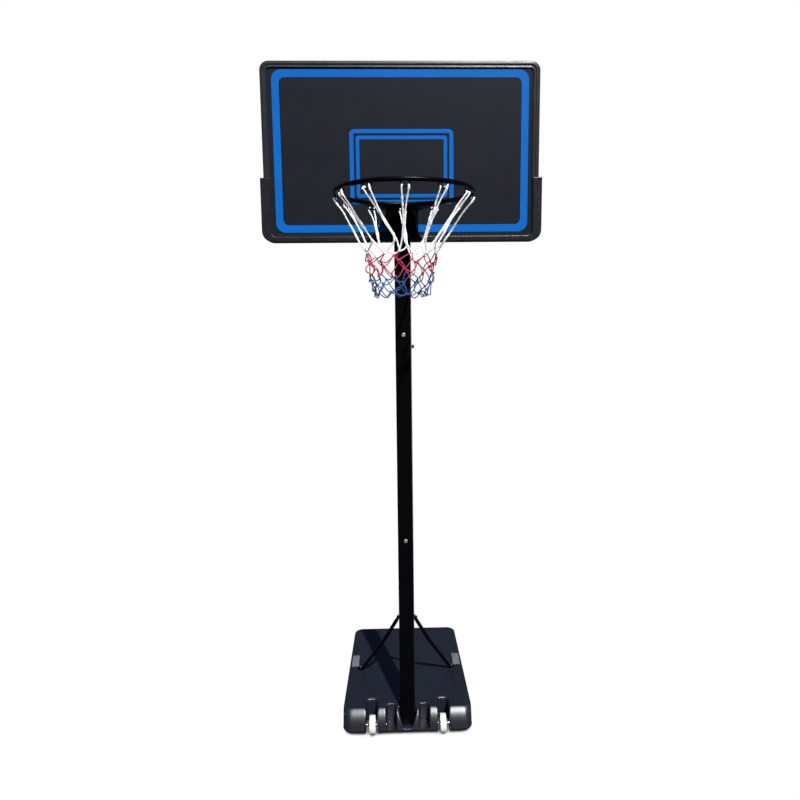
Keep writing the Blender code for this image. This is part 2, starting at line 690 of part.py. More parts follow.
def joint_bolt(label, z, tubes, parent=None):
    """A bolt from the pole's front to its back, with a washer under the head and a nut behind."""
    face = POLE_SIDE / 2
    drill(tubes, f"{label}_joint_hole", (0, 0, z), FACING_FRONT, 2 * POLE_SIDE)
    washer_back = -face - GAP
    rim, bore = circle(WASHER_RADIUS, BOLT_SIDES), circle(HOLE_RADIUS, BOLT_SIDES)
    ring = ring_mesh("washer", rim, bore, WASHER_THICKNESS)
    place(f"{label}_joint_washer", ring, bright_steel(), (0, washer_back, z), FACING_FRONT, parent)
    head_back = washer_back - WASHER_THICKNESS - GAP
    length = face + GAP + NUT_HEIGHT + BOLT_TAIL - head_back
    bolt = bolt_mesh("joint_bolt", BOLT_RADIUS, length, HEAD_ACROSS, HEAD_HEIGHT)
    place(f"{label}_joint_bolt", bolt, bright_steel(), (0, head_back, z), FACING_FRONT, parent)
    place(f"{label}_joint_nut", nut_mesh(), bright_steel(), (0, face + GAP, z), FACING_BACK, parent)


def nut_mesh():
    return ring_mesh("nut", hexagon(HEAD_ACROSS), circle(HOLE_RADIUS, BOLT_SIDES), NUT_HEIGHT)


def cross_bolt(name, spot, half_width, parent=None, look=None):
    """A bolt along X, its head on the left and its nut on the right."""
    y, z = spot
    look = look or dark_steel()
    seat = half_width + GAP
    length = 2 * seat + NUT_HEIGHT + BOLT_TAIL
    bolt = bolt_mesh(name, BOLT_RADIUS, length, HEAD_ACROSS, HEAD_HEIGHT)
    place(f"{name}_bolt", bolt, look, (-seat, y, z), FACING_LEFT, parent)
    place(f"{name}_nut", nut_mesh(), look, (seat, y, z), FACING_RIGHT, parent)


def make_lock_screw(middle):
    """The screw that clamps the sliding tube: its washer rides out with it while it turns."""
    z = UPPER_JOINT_Z - LOCK_SCREW_DROP
    face = POLE_SIDE / 2
    drill([middle], "lock_screw_hole", (face, 0, z), FACING_RIGHT, POLE_SIDE / 2)
    bore = circle(HOLE_RADIUS, BOLT_SIDES)
    weld_nut = ring_mesh("lock_weld_nut", hexagon(HEAD_ACROSS), bore, LOCK_NUT_HEIGHT)
    place("lock_weld_nut", weld_nut, dark_steel(), (face + GAP, 0, z), FACING_RIGHT)
    washer_face = face + GAP + LOCK_NUT_HEIGHT + GAP
    slide = empty("lock_screw_travel", (washer_face, 0, z))
    washer = ring_mesh("lock_washer", circle(HEAD_ACROSS / 2 + GAP, BOLT_SIDES), bore, LOCK_WASHER_THICKNESS)
    place("lock_washer", washer, dark_steel(), (washer_face, 0, z), FACING_RIGHT, slide)
    head_face = washer_face + LOCK_WASHER_THICKNESS + GAP
    tip = NECK_SIDE / 2 + SLIDE_CLEARANCE
    screw = bolt_mesh("lock_screw", BOLT_RADIUS, head_face - tip, HEAD_ACROSS, HEAD_HEIGHT)
    place("lock_screw", screw, dark_steel(), (head_face, 0, z), FACING_RIGHT, slide)


def oval(centre, thin, wide, half_thickness, half_width, sides=12):
    """A ring round a point: a circle where the halves are equal, otherwise a flat with round sides."""
    points = []
    for k in range(sides):
        angle = 2 * math.pi * k / sides
        c, s = math.cos(angle), math.sin(angle)
        square = 1 - 0.5 * (half_width > half_thickness)
        across = math.copysign(abs(c) ** square, c) * half_thickness
        points.append(tuple(centre + thin * across + wide * s * half_width))
    return points


def brace_mesh(side):
    """Bent tube: its top end is flattened against the pole's side and its foot onto the deck."""
    half = BRACE_FLAT / 2
    top = Vector((side * (POLE_SIDE / 2 + GAP + half), 0, BRACE_TOP_Z))
    foot = Vector((side * BRACE_FOOT_X, BRACE_FOOT_Y, TANK_HEIGHT + GAP + half))
    run = foot - top
    bend = top + run * BRACE_SAG_AT - Vector((0, 0, BRACE_SAG))
    start = Vector((0, run.y, bend.z - top.z)).normalized()
    end = Vector((run.x, run.y, 0)).normalized()
    after_top = top + start * BRACE_END
    before_foot = foot - end * BRACE_END
    round_top = after_top + (bend - after_top).normalized() * BRACE_NECK
    round_foot = before_foot - (before_foot - bend).normalized() * BRACE_NECK
    stations = [(top - start * BRACE_END, start, 0, True), (after_top, start, 0, True)]
    stations += [(round_top, bend - after_top, 0.15, False), (bend, run, 0.5, False)]
    stations += [(round_foot, before_foot - bend, 0.85, False)]
    stations += [(before_foot, end, 1, True), (foot + end * BRACE_END, end, 1, True)]
    thin_top, thin_foot = Vector((side, 0, 0)), Vector((0, 0, 1))
    rings = []
    for point, along, share, flat in stations:
        along = Vector(along).normalized()
        thin = thin_top.lerp(thin_foot, share)
        thin = (thin - along * thin.dot(along)).normalized()
        wide = along.cross(thin)
        sizes = (half, BRACE_FLAT_WIDTH / 2) if flat else (BRACE_RADIUS, BRACE_RADIUS)
        rings.append(oval(point, thin, wide, *sizes))
    return loft_mesh("brace", rings)


def make_braces(lower):
    drill([lower], "brace_hole", (0, 0, BRACE_TOP_Z), FACING_RIGHT, 2 * POLE_SIDE)
    for side, label in ((-1, "left"), (1, "right")):
        brace = place(f"{label}_brace", brace_mesh(side), black_steel())
        top_x = side * (POLE_SIDE / 2 + GAP + BRACE_FLAT / 2)
        drill([brace], f"{label}_brace_top_hole", (top_x, 0, BRACE_TOP_Z), FACING_RIGHT, 3 * BRACE_FLAT)
        foot = (side * BRACE_FOOT_X, BRACE_FOOT_Y)
        middle = (*foot, TANK_HEIGHT + GAP + BRACE_FLAT / 2)
        drill([brace], f"{label}_brace_foot_hole", middle, (0, 0, 0), 3 * BRACE_FLAT, FOOT_HOLE_RADIUS)
        bolt = bolt_mesh("foot_bolt", FOOT_BOLT_RADIUS, FOOT_BOLT_LENGTH, FOOT_HEAD_ACROSS, FOOT_HEAD_HEIGHT)
        head_z = TANK_HEIGHT + BRACE_FLAT + 2 * GAP
        place(f"{label}_foot_bolt", bolt, bright_steel(), (*foot, head_z))
        pad = prism_mesh("deck_pad", rounded_rectangle(PAD_WIDTH, PAD_LENGTH, 0.004), PAD_THICKNESS)
        pad_z = TANK_HEIGHT + GAP + PAD_THICKNESS / 2
        place(f"{label}_deck_pad", pad, grey_plate(), (side * PAD_X, PAD_Y, pad_z))


def board_loft(name, sections, look, carriage, closed=False):
    """A piece parallel to the board, from pairs of an outline in XZ and a depth Y."""
    rings = [[(x, z - BOARD_MID_Z, -y) for x, z in outline] for outline, y in sections]
    mesh = loft_mesh(name, rings, closed)
    return place(name, mesh, look, (0, 0, BOARD_MID_Z), FACING_FRONT, carriage)


def board_cutter(name, outline, front, back):
    mesh = loft_mesh(name, [[(x, z, -y) for x, z in outline] for y in (front, back)])
    return cutter(name, mesh, (0, 0, 0), FACING_FRONT)


def opening_outline(margin):
    """Outline of the frame's opening, widened all round by a margin."""
    size = (OPENING_WIDTH + 2 * margin, OPENING_HEIGHT + 2 * margin)
    return rounded_rectangle(*size, LIP_CORNER + margin, (0, OPENING_MID_Z))


def frame_outline(margin):
    """Outline of the whole board, widened all round by a margin."""
    size = (BOARD_WIDTH + 2 * margin, BOARD_HEIGHT + 2 * margin)
    return rounded_rectangle(*size, BOARD_CORNER + margin, (0, BOARD_MID_Z))


def make_board(carriage):
    front, r = BOARD_FRONT_Y, LIP_ROUND
    rebate = PANEL_FRONT_Y - GAP
    sections = [(frame_outline(0), BOARD_BACK_Y), (frame_outline(0), front + r)]
    sections += [(frame_outline(-0.3 * r), front + 0.3 * r), (frame_outline(-r), front)]
    sections += [(opening_outline(r), front), (opening_outline(0.3 * r), front + 0.3 * r)]
    sections += [(opening_outline(0), front + r), (opening_outline(0), rebate)]
    sections += [(opening_outline(PANEL_MARGIN), rebate), (opening_outline(PANEL_MARGIN), BOARD_BACK_Y)]
    frame = board_loft("board_frame", sections, black_plastic(), carriage, closed=True)
    relief_foot, relief_top = PLATE_FOOT_Z - GAP, PLATE_FOOT_Z + 2 * LIP_FOOT
    width = PLATE_WIDTH + 2 * GAP
    relief_middle = (0, (relief_foot + relief_top) / 2)
    relief = rounded_rectangle(width, relief_top - relief_foot, PLATE_CORNER, relief_middle, 3)
    combine(frame, board_cutter("lip_relief", relief, BOARD_FRONT_Y - BOARD_DEPTH, PANEL_FRONT_Y + GAP))
    sheet = opening_outline(PANEL_MARGIN - GAP)
    faces = [(sheet, PANEL_FRONT_Y), (sheet, PANEL_BACK_Y)]
    panel = board_loft("board_panel", faces, board_charcoal(), carriage)
    border = make_stripes(carriage)
    make_guard(carriage)
    return panel, border


def stripe(name, size, line, corners, middle_z, carriage):
    width, height = size
    outer_corner, inner_corner = corners
    middle = (0, middle_z)
    outer = rounded_rectangle(width, height, outer_corner, middle)
    inner = rounded_rectangle(width - 2 * line, height - 2 * line, inner_corner, middle)
    sections = [(outer, STRIPE_FRONT_Y), (outer, STRIPE_BACK_Y), (inner, STRIPE_BACK_Y), (inner, STRIPE_FRONT_Y)]
    return board_loft(name, sections, line_blue(), carriage, closed=True)


def make_stripes(carriage):
    foot = BOARD_FOOT_Z + LIP_FOOT + BORDER_FOOT_MARGIN
    top = BOARD_TOP_Z - LIP_TOP - BORDER_TOP_MARGIN
    size = (OPENING_WIDTH - 2 * BORDER_SIDE_MARGIN, top - foot)
    corners = (BORDER_CORNER, BORDER_INNER_CORNER)
    border = stripe("border_stripe", size, BORDER_LINE, corners, (foot + top) / 2, carriage)
    middle_z = TARGET_FOOT_Z + TARGET_HEIGHT / 2
    size = (TARGET_WIDTH, TARGET_HEIGHT)
    corners = (TARGET_CORNER, LINE_INNER_CORNER)
    stripe("target_outer_stripe", size, TARGET_LINE, corners, middle_z, carriage)
    inset = 2 * (TARGET_LINE + TARGET_SPACE)
    size = (TARGET_WIDTH - inset, TARGET_HEIGHT - inset)
    corners = (TARGET_CORNER - TARGET_SPACE, LINE_INNER_CORNER)
    stripe("target_inner_stripe", size, TARGET_INNER_LINE, corners, middle_z, carriage)
    return border


def guard_outline(inset):
    """Outline of the U-shaped edge guard, drawn in all round by an inset."""
    x, foot, top = BOARD_WIDTH / 2 + GUARD_REACH, BOARD_FOOT_Z - GUARD_DROP, GUARD_TOP_Z
    inner_x, inner_z = x - GUARD_FACE, foot + GUARD_FOOT_FACE
    x, foot, top = x - inset, foot + inset, top - inset
    inner_x, inner_z = inner_x + inset, inner_z - inset
    r, q, e = GUARD_CORNER - inset, GUARD_INNER_CORNER + inset, GUARD_ROUND
    right = [(x, foot, r), (x, top, e), (inner_x, top, e), (inner_x, inner_z, q)]
    left = [(-px, pz, radius) for px, pz, radius in reversed(right)]
    return rounded_polygon(right + left, 4)


def make_guard(carriage):
    """Soft rubber channel that grips the lower half of the frame's edge."""
    front, back = BOARD_FRONT_Y - GUARD_FRONT_LIP, BOARD_BACK_Y + GUARD_BACK_LIP
    e = GUARD_ROUND
    sections = [(guard_outline(e), front), (guard_outline(0.3 * e), front + 0.3 * e), (guard_outline(0), front + e)]
    sections += [(guard_outline(0), back - e / 2), (guard_outline(e / 2), back)]
    guard = board_loft("edge_guard", sections, rubber(), carriage)
    slot = frame_outline(GAP)
    combine(guard, board_cutter("guard_slot", slot, BOARD_FRONT_Y - GAP, BOARD_BACK_Y + GAP))


def make_back(carriage, panel, border, upper):
    """Two box rails behind the panel, and two brackets that hold them to the pole."""
    height = OPENING_HEIGHT + 2 * PANEL_MARGIN - 2 * GAP
    outer = rounded_rectangle(RAIL_WIDTH, RAIL_DEPTH, RAIL_CORNER, steps=2)
    hollow = (RAIL_WIDTH - 2 * RAIL_WALL, RAIL_DEPTH - 2 * RAIL_WALL, RAIL_CORNER - RAIL_WALL)
    inner = rounded_rectangle(*hollow, steps=2)
    rails = []
    for side, label in ((-1, "left"), (1, "right")):
        spot = (side * RAIL_X, RAIL_FRONT_Y + RAIL_DEPTH / 2, OPENING_MID_Z - height / 2)
        tube = ring_mesh("rail", outer, inner, height)
        rails.append(place(f"{label}_rail", tube, black_steel(), spot, parent=carriage))
    web = RAIL_X + RAIL_WIDTH / 2 + BRACKET_EAR
    ear_in, ear_out = POLE_SIDE / 2 + GAP, POLE_SIDE / 2 + GAP + BRACKET_EAR
    front, back = BRACKET_FRONT_Y, BRACKET_FRONT_Y + BRACKET_WEB
    right = [(web, front), (web, back), (ear_out, back), (ear_out, BRACKET_REACH), (ear_in, BRACKET_REACH)]
    right += [(ear_in, back)]
    outline = right + [(-x, y) for x, y in reversed(right)]
    for label, z in (("lower", LOWER_BRACKET_Z), ("upper", UPPER_BRACKET_Z)):
        mesh = prism_mesh("bracket", outline, BRACKET_HEIGHT)
        bracket = place(f"{label}_bracket", mesh, black_steel(), (0, 0, z), parent=carriage)
        drill([bracket, upper], f"{label}_bracket_hole", (0, 0, z), FACING_RIGHT, 4 * web)
        cross_bolt(f"{label}_bracket", (0, z), ear_out, carriage)
    make_hoop_plate(carriage, panel, border, rails)


def make_hoop_plate(carriage, panel, border, rails):
    middle = (0, PLATE_FOOT_Z + PLATE_HEIGHT / 2)
    outline = rounded_rectangle(PLATE_WIDTH, PLATE_HEIGHT, PLATE_CORNER, middle, 3)
    faces = [(outline, PLATE_FRONT_Y), (outline, PLATE_BACK_Y)]
    plate = board_loft("hoop_plate", faces, black_steel(), carriage)
    nut_face = RAIL_FRONT_Y + RAIL_DEPTH + GAP
    head_face = PLATE_FRONT_Y - GAP
    for side, label, rail in ((-1, "left", rails[0]), (1, "right", rails[1])):
        for row, rise in zip(("lower", "upper"), PLATE_BOLT_RISE):
            x, z = side * RAIL_X, PLATE_FOOT_Z + rise
            pieces = [plate, panel, border, rail]
            drill(pieces, f"{row}_{label}_hoop_hole", (x, PANEL_BACK_Y, z), FACING_FRONT, 4 * RAIL_DEPTH)
            length = nut_face + NUT_HEIGHT + BOLT_TAIL / 2 - head_face
            bolt = bolt_mesh("hoop_bolt", BOLT_RADIUS, length, HEAD_ACROSS, HEAD_HEIGHT)
            name = f"{row}_{label}_hoop"
            place(f"{name}_bolt", bolt, dark_steel(), (x, head_face, z), FACING_FRONT, carriage)
            place(f"{name}_nut", nut_mesh(), dark_steel(), (x, nut_face, z), FACING_BACK, carriage)


def hook_angles():
    return [math.radians(-90 + 360 * k / HOOK_COUNT) for k in range(HOOK_COUNT)]


def pipe_rings(points, radius, normal, sides):
    """Rings of a round pipe along a flat path, the normal being square to that path's plane."""
    spots = [Vector(point) for point in points]
    rings = []
    for k, spot in enumerate(spots):
        before = (spot - spots[max(k - 1, 0)]).normalized()
        after = (spots[min(k + 1, len(spots) - 1)] - spot).normalized()
        across = (before + after).normalized().cross(normal)
        turns = [2 * math.pi * n / sides for n in range(sides)]
        rings.append([spot + radius * (math.cos(a) * normal + math.sin(a) * across) for a in turns])
    return rings


def make_ring(carriage):
    steps = 5 * HOOK_COUNT
    section = circle(RING_ROD / 2, 12)
    rings = []
    for k in range(steps):
        turn = 2 * math.pi * (k + 0.5) / steps
        radii = [(RING_RADIUS + x, z) for x, z in section]
        rings.append([(r * math.cos(turn), r * math.sin(turn), z) for r, z in radii])
    mesh = loft_mesh("hoop_ring", rings, closed=True)
    ring = place("hoop_ring", mesh, black_steel(), (0, RING_Y, RING_Z), parent=carriage)
    wide = HOOK_WIDTH / 2 - HOOK_WIRE / 2
    drop = -RING_ROD / 2 - HOOK_DROP - HOOK_WIRE / 2
    knee = HOOK_DROP / 3
    shape = [(-wide, -RING_ROD / 4), (-wide, drop + knee), (knee - wide, drop)]
    shape += [(-x, z) for x, z in reversed(shape)]
    for index, angle in enumerate(hook_angles()):
        path = [(RING_RADIUS, x, z) for x, z in shape]
        hook = loft_mesh("net_hook", pipe_rings(path, HOOK_WIRE / 2, Vector((1, 0, 0)), 6))
        hook.transform(Matrix.Rotation(angle, 4, "Z"))
        combine(ring, cutter(f"net_hook_{index + 1}", hook, (0, RING_Y, RING_Z)), "UNION")


def make_hoop_supports(carriage):
    """The flared plate behind the ring and the two slanting gussets under it."""
    edge = RING_OUTER_RADIUS + GAP
    root_y = PLATE_FRONT_Y - GAP
    front = arc((0, RING_Y), edge, 90 - WING_HALF_ANGLE, 90 + WING_HALF_ANGLE, 20)
    turn = math.radians(90 + WING_HALF_ANGLE)
    outward = Vector((math.cos(turn), math.sin(turn)))
    along = Vector((math.sin(turn), -math.cos(turn)))
    tip = Vector((0, RING_Y)) + outward * (edge + WING_TIP)
    root = Vector((-WING_ROOT_WIDTH / 2, root_y))
    waist = tip + along * ((root.x * 1.1 - tip.x) / along.x)
    shares = [k / 8 for k in range(9)]
    left = [tip * (1 - t) ** 2 + waist * 2 * t * (1 - t) + root * t**2 for t in shares]
    outline = front + [tuple(p) for p in left] + [(-p.x, p.y) for p in reversed(left)]
    wing = prism_mesh("hoop_wing", outline, WING_THICKNESS)
    place("hoop_wing", wing, black_steel(), (0, 0, RING_Z - WING_THICKNESS / 2), parent=carriage)
    top = RING_Z - WING_THICKNESS - GAP
    foot = PLATE_FOOT_Z + PLATE_CORNER
    depth = RING_Z - top
    reach = RING_RADIUS + math.sqrt((RING_ROD / 2) ** 2 - depth**2) + GAP
    for side, label in ((-1, "left"), (1, "right")):
        mesh = gusset_mesh(side, root_y, reach, top, foot)
        place(f"hoop_{label}_gusset", mesh, black_steel(), (0, 0, UPPER_JOINT_Z), parent=carriage)


def gusset_mesh(side, root_y, reach, top, foot):
    """Plate that leans in from the board to the ring, its lower edge hollow, its front end against the rod."""
    rings = []
    for share in [k / 5 for k in range(6)]:
        low = top - GUSSET_TIP - (top - GUSSET_TIP - foot) * (1 - share) ** 1.7
        middle = side * (GUSSET_BOARD_X + (GUSSET_RING_X - GUSSET_BOARD_X) * share)
        section = []
        for x in (middle - GUSSET_THICKNESS / 2, middle + GUSSET_THICKNESS / 2):
            end_y = RING_Y + math.sqrt(reach**2 - x**2)
            section.append((x, root_y + (end_y - root_y) * share))
        (x1, y1), (x2, y2) = section
        ring = [(x1, y1, top), (x2, y2, top), (x2, y2, low), (x1, y1, low)]
        rings.append([(x, y, z - UPPER_JOINT_Z) for x, y, z in ring])
    return loft_mesh("gusset", rings)


def make_net(carriage):
    """Knotted cord hanging from the hooks: a lattice of diamonds, open at the top between the hooks."""
    hook_foot = RING_Z - RING_ROD / 2 - HOOK_DROP - HOOK_WIRE
    top = hook_foot - NET_CORD * 0.4
    bm = bmesh.new()
    rows = []
    for index, (drop, spread) in enumerate(zip(NET_DROPS, NET_SPREADS)):
        shift = math.pi / HOOK_COUNT * (index % 2)
        angles = [a + shift for a in hook_angles()]
        r, z = spread * RING_RADIUS, top - drop - RING_Z
        rows.append([bm.verts.new((r * math.cos(a), r * math.sin(a), z)) for a in angles])
    for index in range(len(rows) - 2):
        high, middle, low = rows[index : index + 3]
        for k in range(HOOK_COUNT):
            a, b = (k - 1, k) if index % 2 == 0 else (k, (k + 1) % HOOK_COUNT)
            bm.faces.new((high[k], middle[a], low[k], middle[b]))
    net = place("net", mesh_from(bm, "net"), net_cord(), (0, RING_Y, RING_Z), parent=carriage, smooth=False)
    wire = net.modifiers.new("cord", "WIREFRAME")
    wire.thickness = NET_CORD
    wire.use_even_offset = False
    wire.use_boundary = True


clear_scene()
parts = new_collection("basketball_stand")
cutters = new_collection("cutters")
height_carriage = empty("height_carriage", (0, 0, UPPER_JOINT_Z))

base_tank = make_tank()
make_fill()
make_filler()
make_wheels()
lower_pole, middle_pole, inner_pole, upper_pole = make_poles(height_carriage)
make_pole_cap(height_carriage)
joint_bolt("lower", LOWER_JOINT_Z + LOWER_BOLT_RISE, [lower_pole, middle_pole])
joint_bolt("upper", UPPER_JOINT_Z + UPPER_BOLT_RISE, [inner_pole, upper_pole], height_carriage)
make_lock_screw(middle_pole)
make_braces(lower_pole)
cross_bolt("brace", (0, BRACE_TOP_Z), POLE_SIDE / 2 + GAP + BRACE_FLAT)
drill([base_tank, lower_pole], "anchor_hole", (0, ANCHOR_Y, ANCHOR_Z), FACING_RIGHT, 2 * FLUTE_X)
cross_bolt("anchor", (ANCHOR_Y, ANCHOR_Z), ANCHOR_SEAT)
board_panel, border_stripe = make_board(height_carriage)
make_back(height_carriage, board_panel, border_stripe, upper_pole)
make_ring(height_carriage)
make_hoop_supports(height_carriage)
make_net(height_carriage)
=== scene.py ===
import json
import math
import random

import bmesh
import bpy
from mathutils import Matrix, Vector

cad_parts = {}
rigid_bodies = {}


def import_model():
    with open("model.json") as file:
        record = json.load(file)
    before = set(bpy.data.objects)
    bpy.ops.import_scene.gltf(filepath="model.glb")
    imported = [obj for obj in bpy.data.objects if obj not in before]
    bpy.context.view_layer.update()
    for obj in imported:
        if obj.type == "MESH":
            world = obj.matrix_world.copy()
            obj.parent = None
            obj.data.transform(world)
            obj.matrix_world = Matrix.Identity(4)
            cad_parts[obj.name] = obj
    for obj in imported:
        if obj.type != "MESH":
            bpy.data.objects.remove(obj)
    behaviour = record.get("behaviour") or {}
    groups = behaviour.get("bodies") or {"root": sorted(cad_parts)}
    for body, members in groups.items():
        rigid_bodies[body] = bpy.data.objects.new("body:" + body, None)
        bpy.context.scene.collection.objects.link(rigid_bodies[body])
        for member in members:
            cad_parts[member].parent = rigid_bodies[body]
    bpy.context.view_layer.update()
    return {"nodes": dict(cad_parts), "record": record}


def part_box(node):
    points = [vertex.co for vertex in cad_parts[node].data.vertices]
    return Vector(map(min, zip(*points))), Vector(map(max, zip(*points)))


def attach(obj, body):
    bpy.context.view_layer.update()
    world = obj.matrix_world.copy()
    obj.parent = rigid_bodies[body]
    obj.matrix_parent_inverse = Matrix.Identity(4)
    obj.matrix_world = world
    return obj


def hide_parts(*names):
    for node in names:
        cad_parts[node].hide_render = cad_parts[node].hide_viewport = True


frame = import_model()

# Basketball stand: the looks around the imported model. Metres, Z up, the board faces -Y.
draw = random.Random(7)
gap = 0.0003  # clearance between neighbouring pieces
nearly = 0.0001  # two heights or depths this close count as one
bothSides = ((-1, "left"), (1, "right"))


# Finishes
def startFinish(name, colour, roughness, metallic=0.0, specular=0.5):
    look = bpy.data.materials.new(name)
    look.use_nodes = True
    tree = look.node_tree
    shader = tree.nodes["Principled BSDF"]
    shader.inputs["Base Color"].default_value = (*colour, 1)
    shader.inputs["Roughness"].default_value = roughness
    shader.inputs["Metallic"].default_value = metallic
    shader.inputs["Specular IOR Level"].default_value = specular
    return look, tree, shader


def addNode(tree, kind, inputs, **settings):
    # a shader node; each input is a value or another node's output
    node = tree.nodes.new("ShaderNode" + kind)
    for key, value in settings.items():
        setattr(node, key, value)
    for key, value in inputs.items():
        if isinstance(value, bpy.types.NodeSocket):
            tree.links.new(value, node.inputs[key])
        else:
            node.inputs[key].default_value = value
    return node


def objectPoint(tree):
    found = tree.nodes.get("place") or addNode(tree, "TexCoord", {}, name="place")
    return found.outputs["Object"]


def noise(tree, scale, detail):
    inputs = {"Scale": scale, "Detail": detail, "Vector": objectPoint(tree)}
    return addNode(tree, "TexNoise", inputs).outputs["Fac"]


def spread(tree, value, low, high, fromLow=0.3, fromHigh=0.7):
    # maps a noise's middle range on to two values
    ends = {"From Min": fromLow, "From Max": fromHigh, "To Min": low, "To Max": high}
    return addNode(tree, "MapRange", {"Value": value, **ends}).outputs["Result"]


def mixColour(tree, share, first, second, blend="MIX"):
    # inputs 6 and 7 take the two colours, output 2 gives the mixed one
    mixer = addNode(tree, "Mix", {0: share, 6: first, 7: second}, data_type="RGBA", blend_type=blend)
    return mixer.outputs[2]


def addBump(tree, shader, height, strength, distance):
    bump = addNode(tree, "Bump", {"Strength": strength, "Distance": distance, "Height": height})
    tree.links.new(bump.outputs["Normal"], shader.inputs["Normal"])


def grained(name, colour, tint, gloss, clouds, skin, metallic=0.0, specular=0.5):
    # a finish with soft clouds of a second colour, uneven gloss and a fine skin of (scale, strength, depth)
    look, tree, shader = startFinish(name, colour, gloss[0], metallic, specular)
    share = spread(tree, noise(tree, clouds, 4), 0, 1)
    tree.links.new(mixColour(tree, share, (*colour, 1), (*tint, 1)), shader.inputs["Base Color"])
    tree.links.new(spread(tree, noise(tree, clouds * 3.1, 3), *gloss), shader.inputs["Roughness"])
    scale, strength, depth = skin
    addBump(tree, shader, noise(tree, scale, 2), strength, depth)
    return look


looks = {
    "tank_plastic": {
        "name": "mouldedNavy", "colour": (0.0100, 0.0125, 0.0195), "tint": (0.0118, 0.0147, 0.0228),
        "gloss": (0.37, 0.39), "clouds": 6, "skin": (420, 0.3, 0.00025), "specular": 0.85},
    "black_plastic": {
        "name": "framePlastic", "colour": (0.0215, 0.0225, 0.025), "tint": (0.026, 0.027, 0.029),
        "gloss": (0.30, 0.38), "clouds": 14, "skin": (700, 0.25, 0.00015), "specular": 0.35},
    "white_plastic": {
        "name": "whiteWheel", "colour": (0.86, 0.86, 0.85), "tint": (0.80, 0.80, 0.79),
        "gloss": (0.36, 0.5), "clouds": 25, "skin": (600, 0.2, 0.0002)},
    "board_charcoal": {
        "name": "boardCharcoal", "colour": (0.0104, 0.0125, 0.0180), "tint": (0.0118, 0.0140, 0.0198),
        "gloss": (0.42, 0.52), "clouds": 5, "skin": (380, 0.25, 0.0002), "specular": 0.12},
    "line_blue": {
        "name": "lineBlue", "colour": (0.002, 0.132, 0.515), "tint": (0.003, 0.144, 0.55),
        "gloss": (0.42, 0.52), "clouds": 8, "skin": (520, 0.15, 0.0001), "specular": 0.09},
    "rubber": {
        "name": "guardRubber", "colour": (0.0118, 0.0122, 0.0168), "tint": (0.0150, 0.0155, 0.020),
        "gloss": (0.30, 0.40), "clouds": 18, "skin": (850, 0.4, 0.0002), "specular": 0.38},
    "black_steel": {
        "name": "powderBlack", "colour": (0.0009, 0.0009, 0.0014), "tint": (0.0013, 0.0013, 0.0018),
        "gloss": (0.31, 0.35), "clouds": 9, "skin": (520, 0.35, 0.0002), "specular": 0.12},
    "dark_steel": {
        "name": "oxideSteel", "colour": (0.03, 0.03, 0.032), "tint": (0.055, 0.055, 0.058),
        "gloss": (0.32, 0.48), "clouds": 60, "skin": (900, 0.2, 0.0001), "metallic": 0.85},
    "bright_steel": {
        "name": "zincSteel", "colour": (0.66, 0.67, 0.69), "tint": (0.80, 0.81, 0.82),
        "gloss": (0.32, 0.46), "clouds": 140, "skin": (1500, 0.15, 0.0001), "metallic": 1.0},
}


def waterFinish():
    look, tree, shader = startFinish("ballastWater", (0.30, 0.48, 0.58), 0.08)
    shader.inputs["Transmission Weight"].default_value = 0.8
    addBump(tree, shader, noise(tree, 12, 1), 0.2, 0.002)
    return look


# the hatch's valley colour is painted shade in the grooves and its ridge colour is painted light on the
# ridges
hatch = {"base": (0.22, 0.225, 0.24), "shadedValley": (0.092, 0.097, 0.106), "litRidge": (0.275, 0.285, 0.305),
         "slant": 0.62, "scale": 70, "waver": 0.6, "strength": 0.5, "depth": 0.0005}


def padFinish():
    # light grey plate with a fine hatch of shallow slanting grooves, with painted shade in the valleys and
    # painted light on the ridges
    look, tree, shader = startFinish("hatchedGrey", hatch["base"], 0.5)
    lines = []
    for turn in (hatch["slant"], -hatch["slant"]):
        tilt = addNode(tree, "Mapping", {"Rotation": (0, 0, turn), "Vector": objectPoint(tree)})
        inputs = {"Scale": hatch["scale"], "Distortion": hatch["waver"], "Vector": tilt.outputs["Vector"]}
        lines.append(addNode(tree, "TexWave", inputs).outputs["Fac"])
    both = addNode(tree, "Math", {0: lines[0], 1: lines[1]}, operation="MULTIPLY").outputs["Value"]
    share = spread(tree, both, 0, 1, 0.05, 0.5)
    # painted shade and light: the colour darkens in the grooves and lightens on the ridges along with the
    # relief
    colour = mixColour(tree, share, (*hatch["shadedValley"], 1), (*hatch["litRidge"], 1))
    tree.links.new(colour, shader.inputs["Base Color"])
    addBump(tree, shader, both, hatch["strength"], hatch["depth"])
    return look


def cordFinish():
    # cord: each strand's own dye, mottled darker, with a fine cellular relief
    look, tree, shader = startFinish("netCord", (0.85, 0.85, 0.86), 0.8, specular=0.3)
    dye = addNode(tree, "Attribute", {}, attribute_name="dye").outputs["Color"]
    shade = spread(tree, noise(tree, 160, 4), 0.72, 1.0)
    tree.links.new(mixColour(tree, 1, dye, shade, "MULTIPLY"), shader.inputs["Base Color"])
    cells = addNode(tree, "TexVoronoi", {"Scale": 620, "Vector": objectPoint(tree)})
    addBump(tree, shader, cells.outputs["Distance"], 0.6, 0.0006)
    return look


finishes = {slot: grained(**values) for slot, values in looks.items()}
finishes.update(grey_plate=padFinish(), net_cord=cordFinish(), water=waterFinish())
slotOf = {part["node"]: part["material_slot"] for part in frame["record"]["subparts"]}
bodyOf = {node: body for body, nodes in frame["record"]["behaviour"]["bodies"].items() for node in nodes}
for node, thing in frame["nodes"].items():
    thing.data.materials.clear()
    thing.data.materials.append(finishes[slotOf[node]])
print("finishes: %d" % len(finishes))


# Shaping tools
def rectangle(width, height, middle=(0, 0)):
    a, b = middle
    w, h = width / 2, height / 2
    return [(a - w, b - h), (a + w, b - h), (a + w, b + h), (a - w, b + h)]


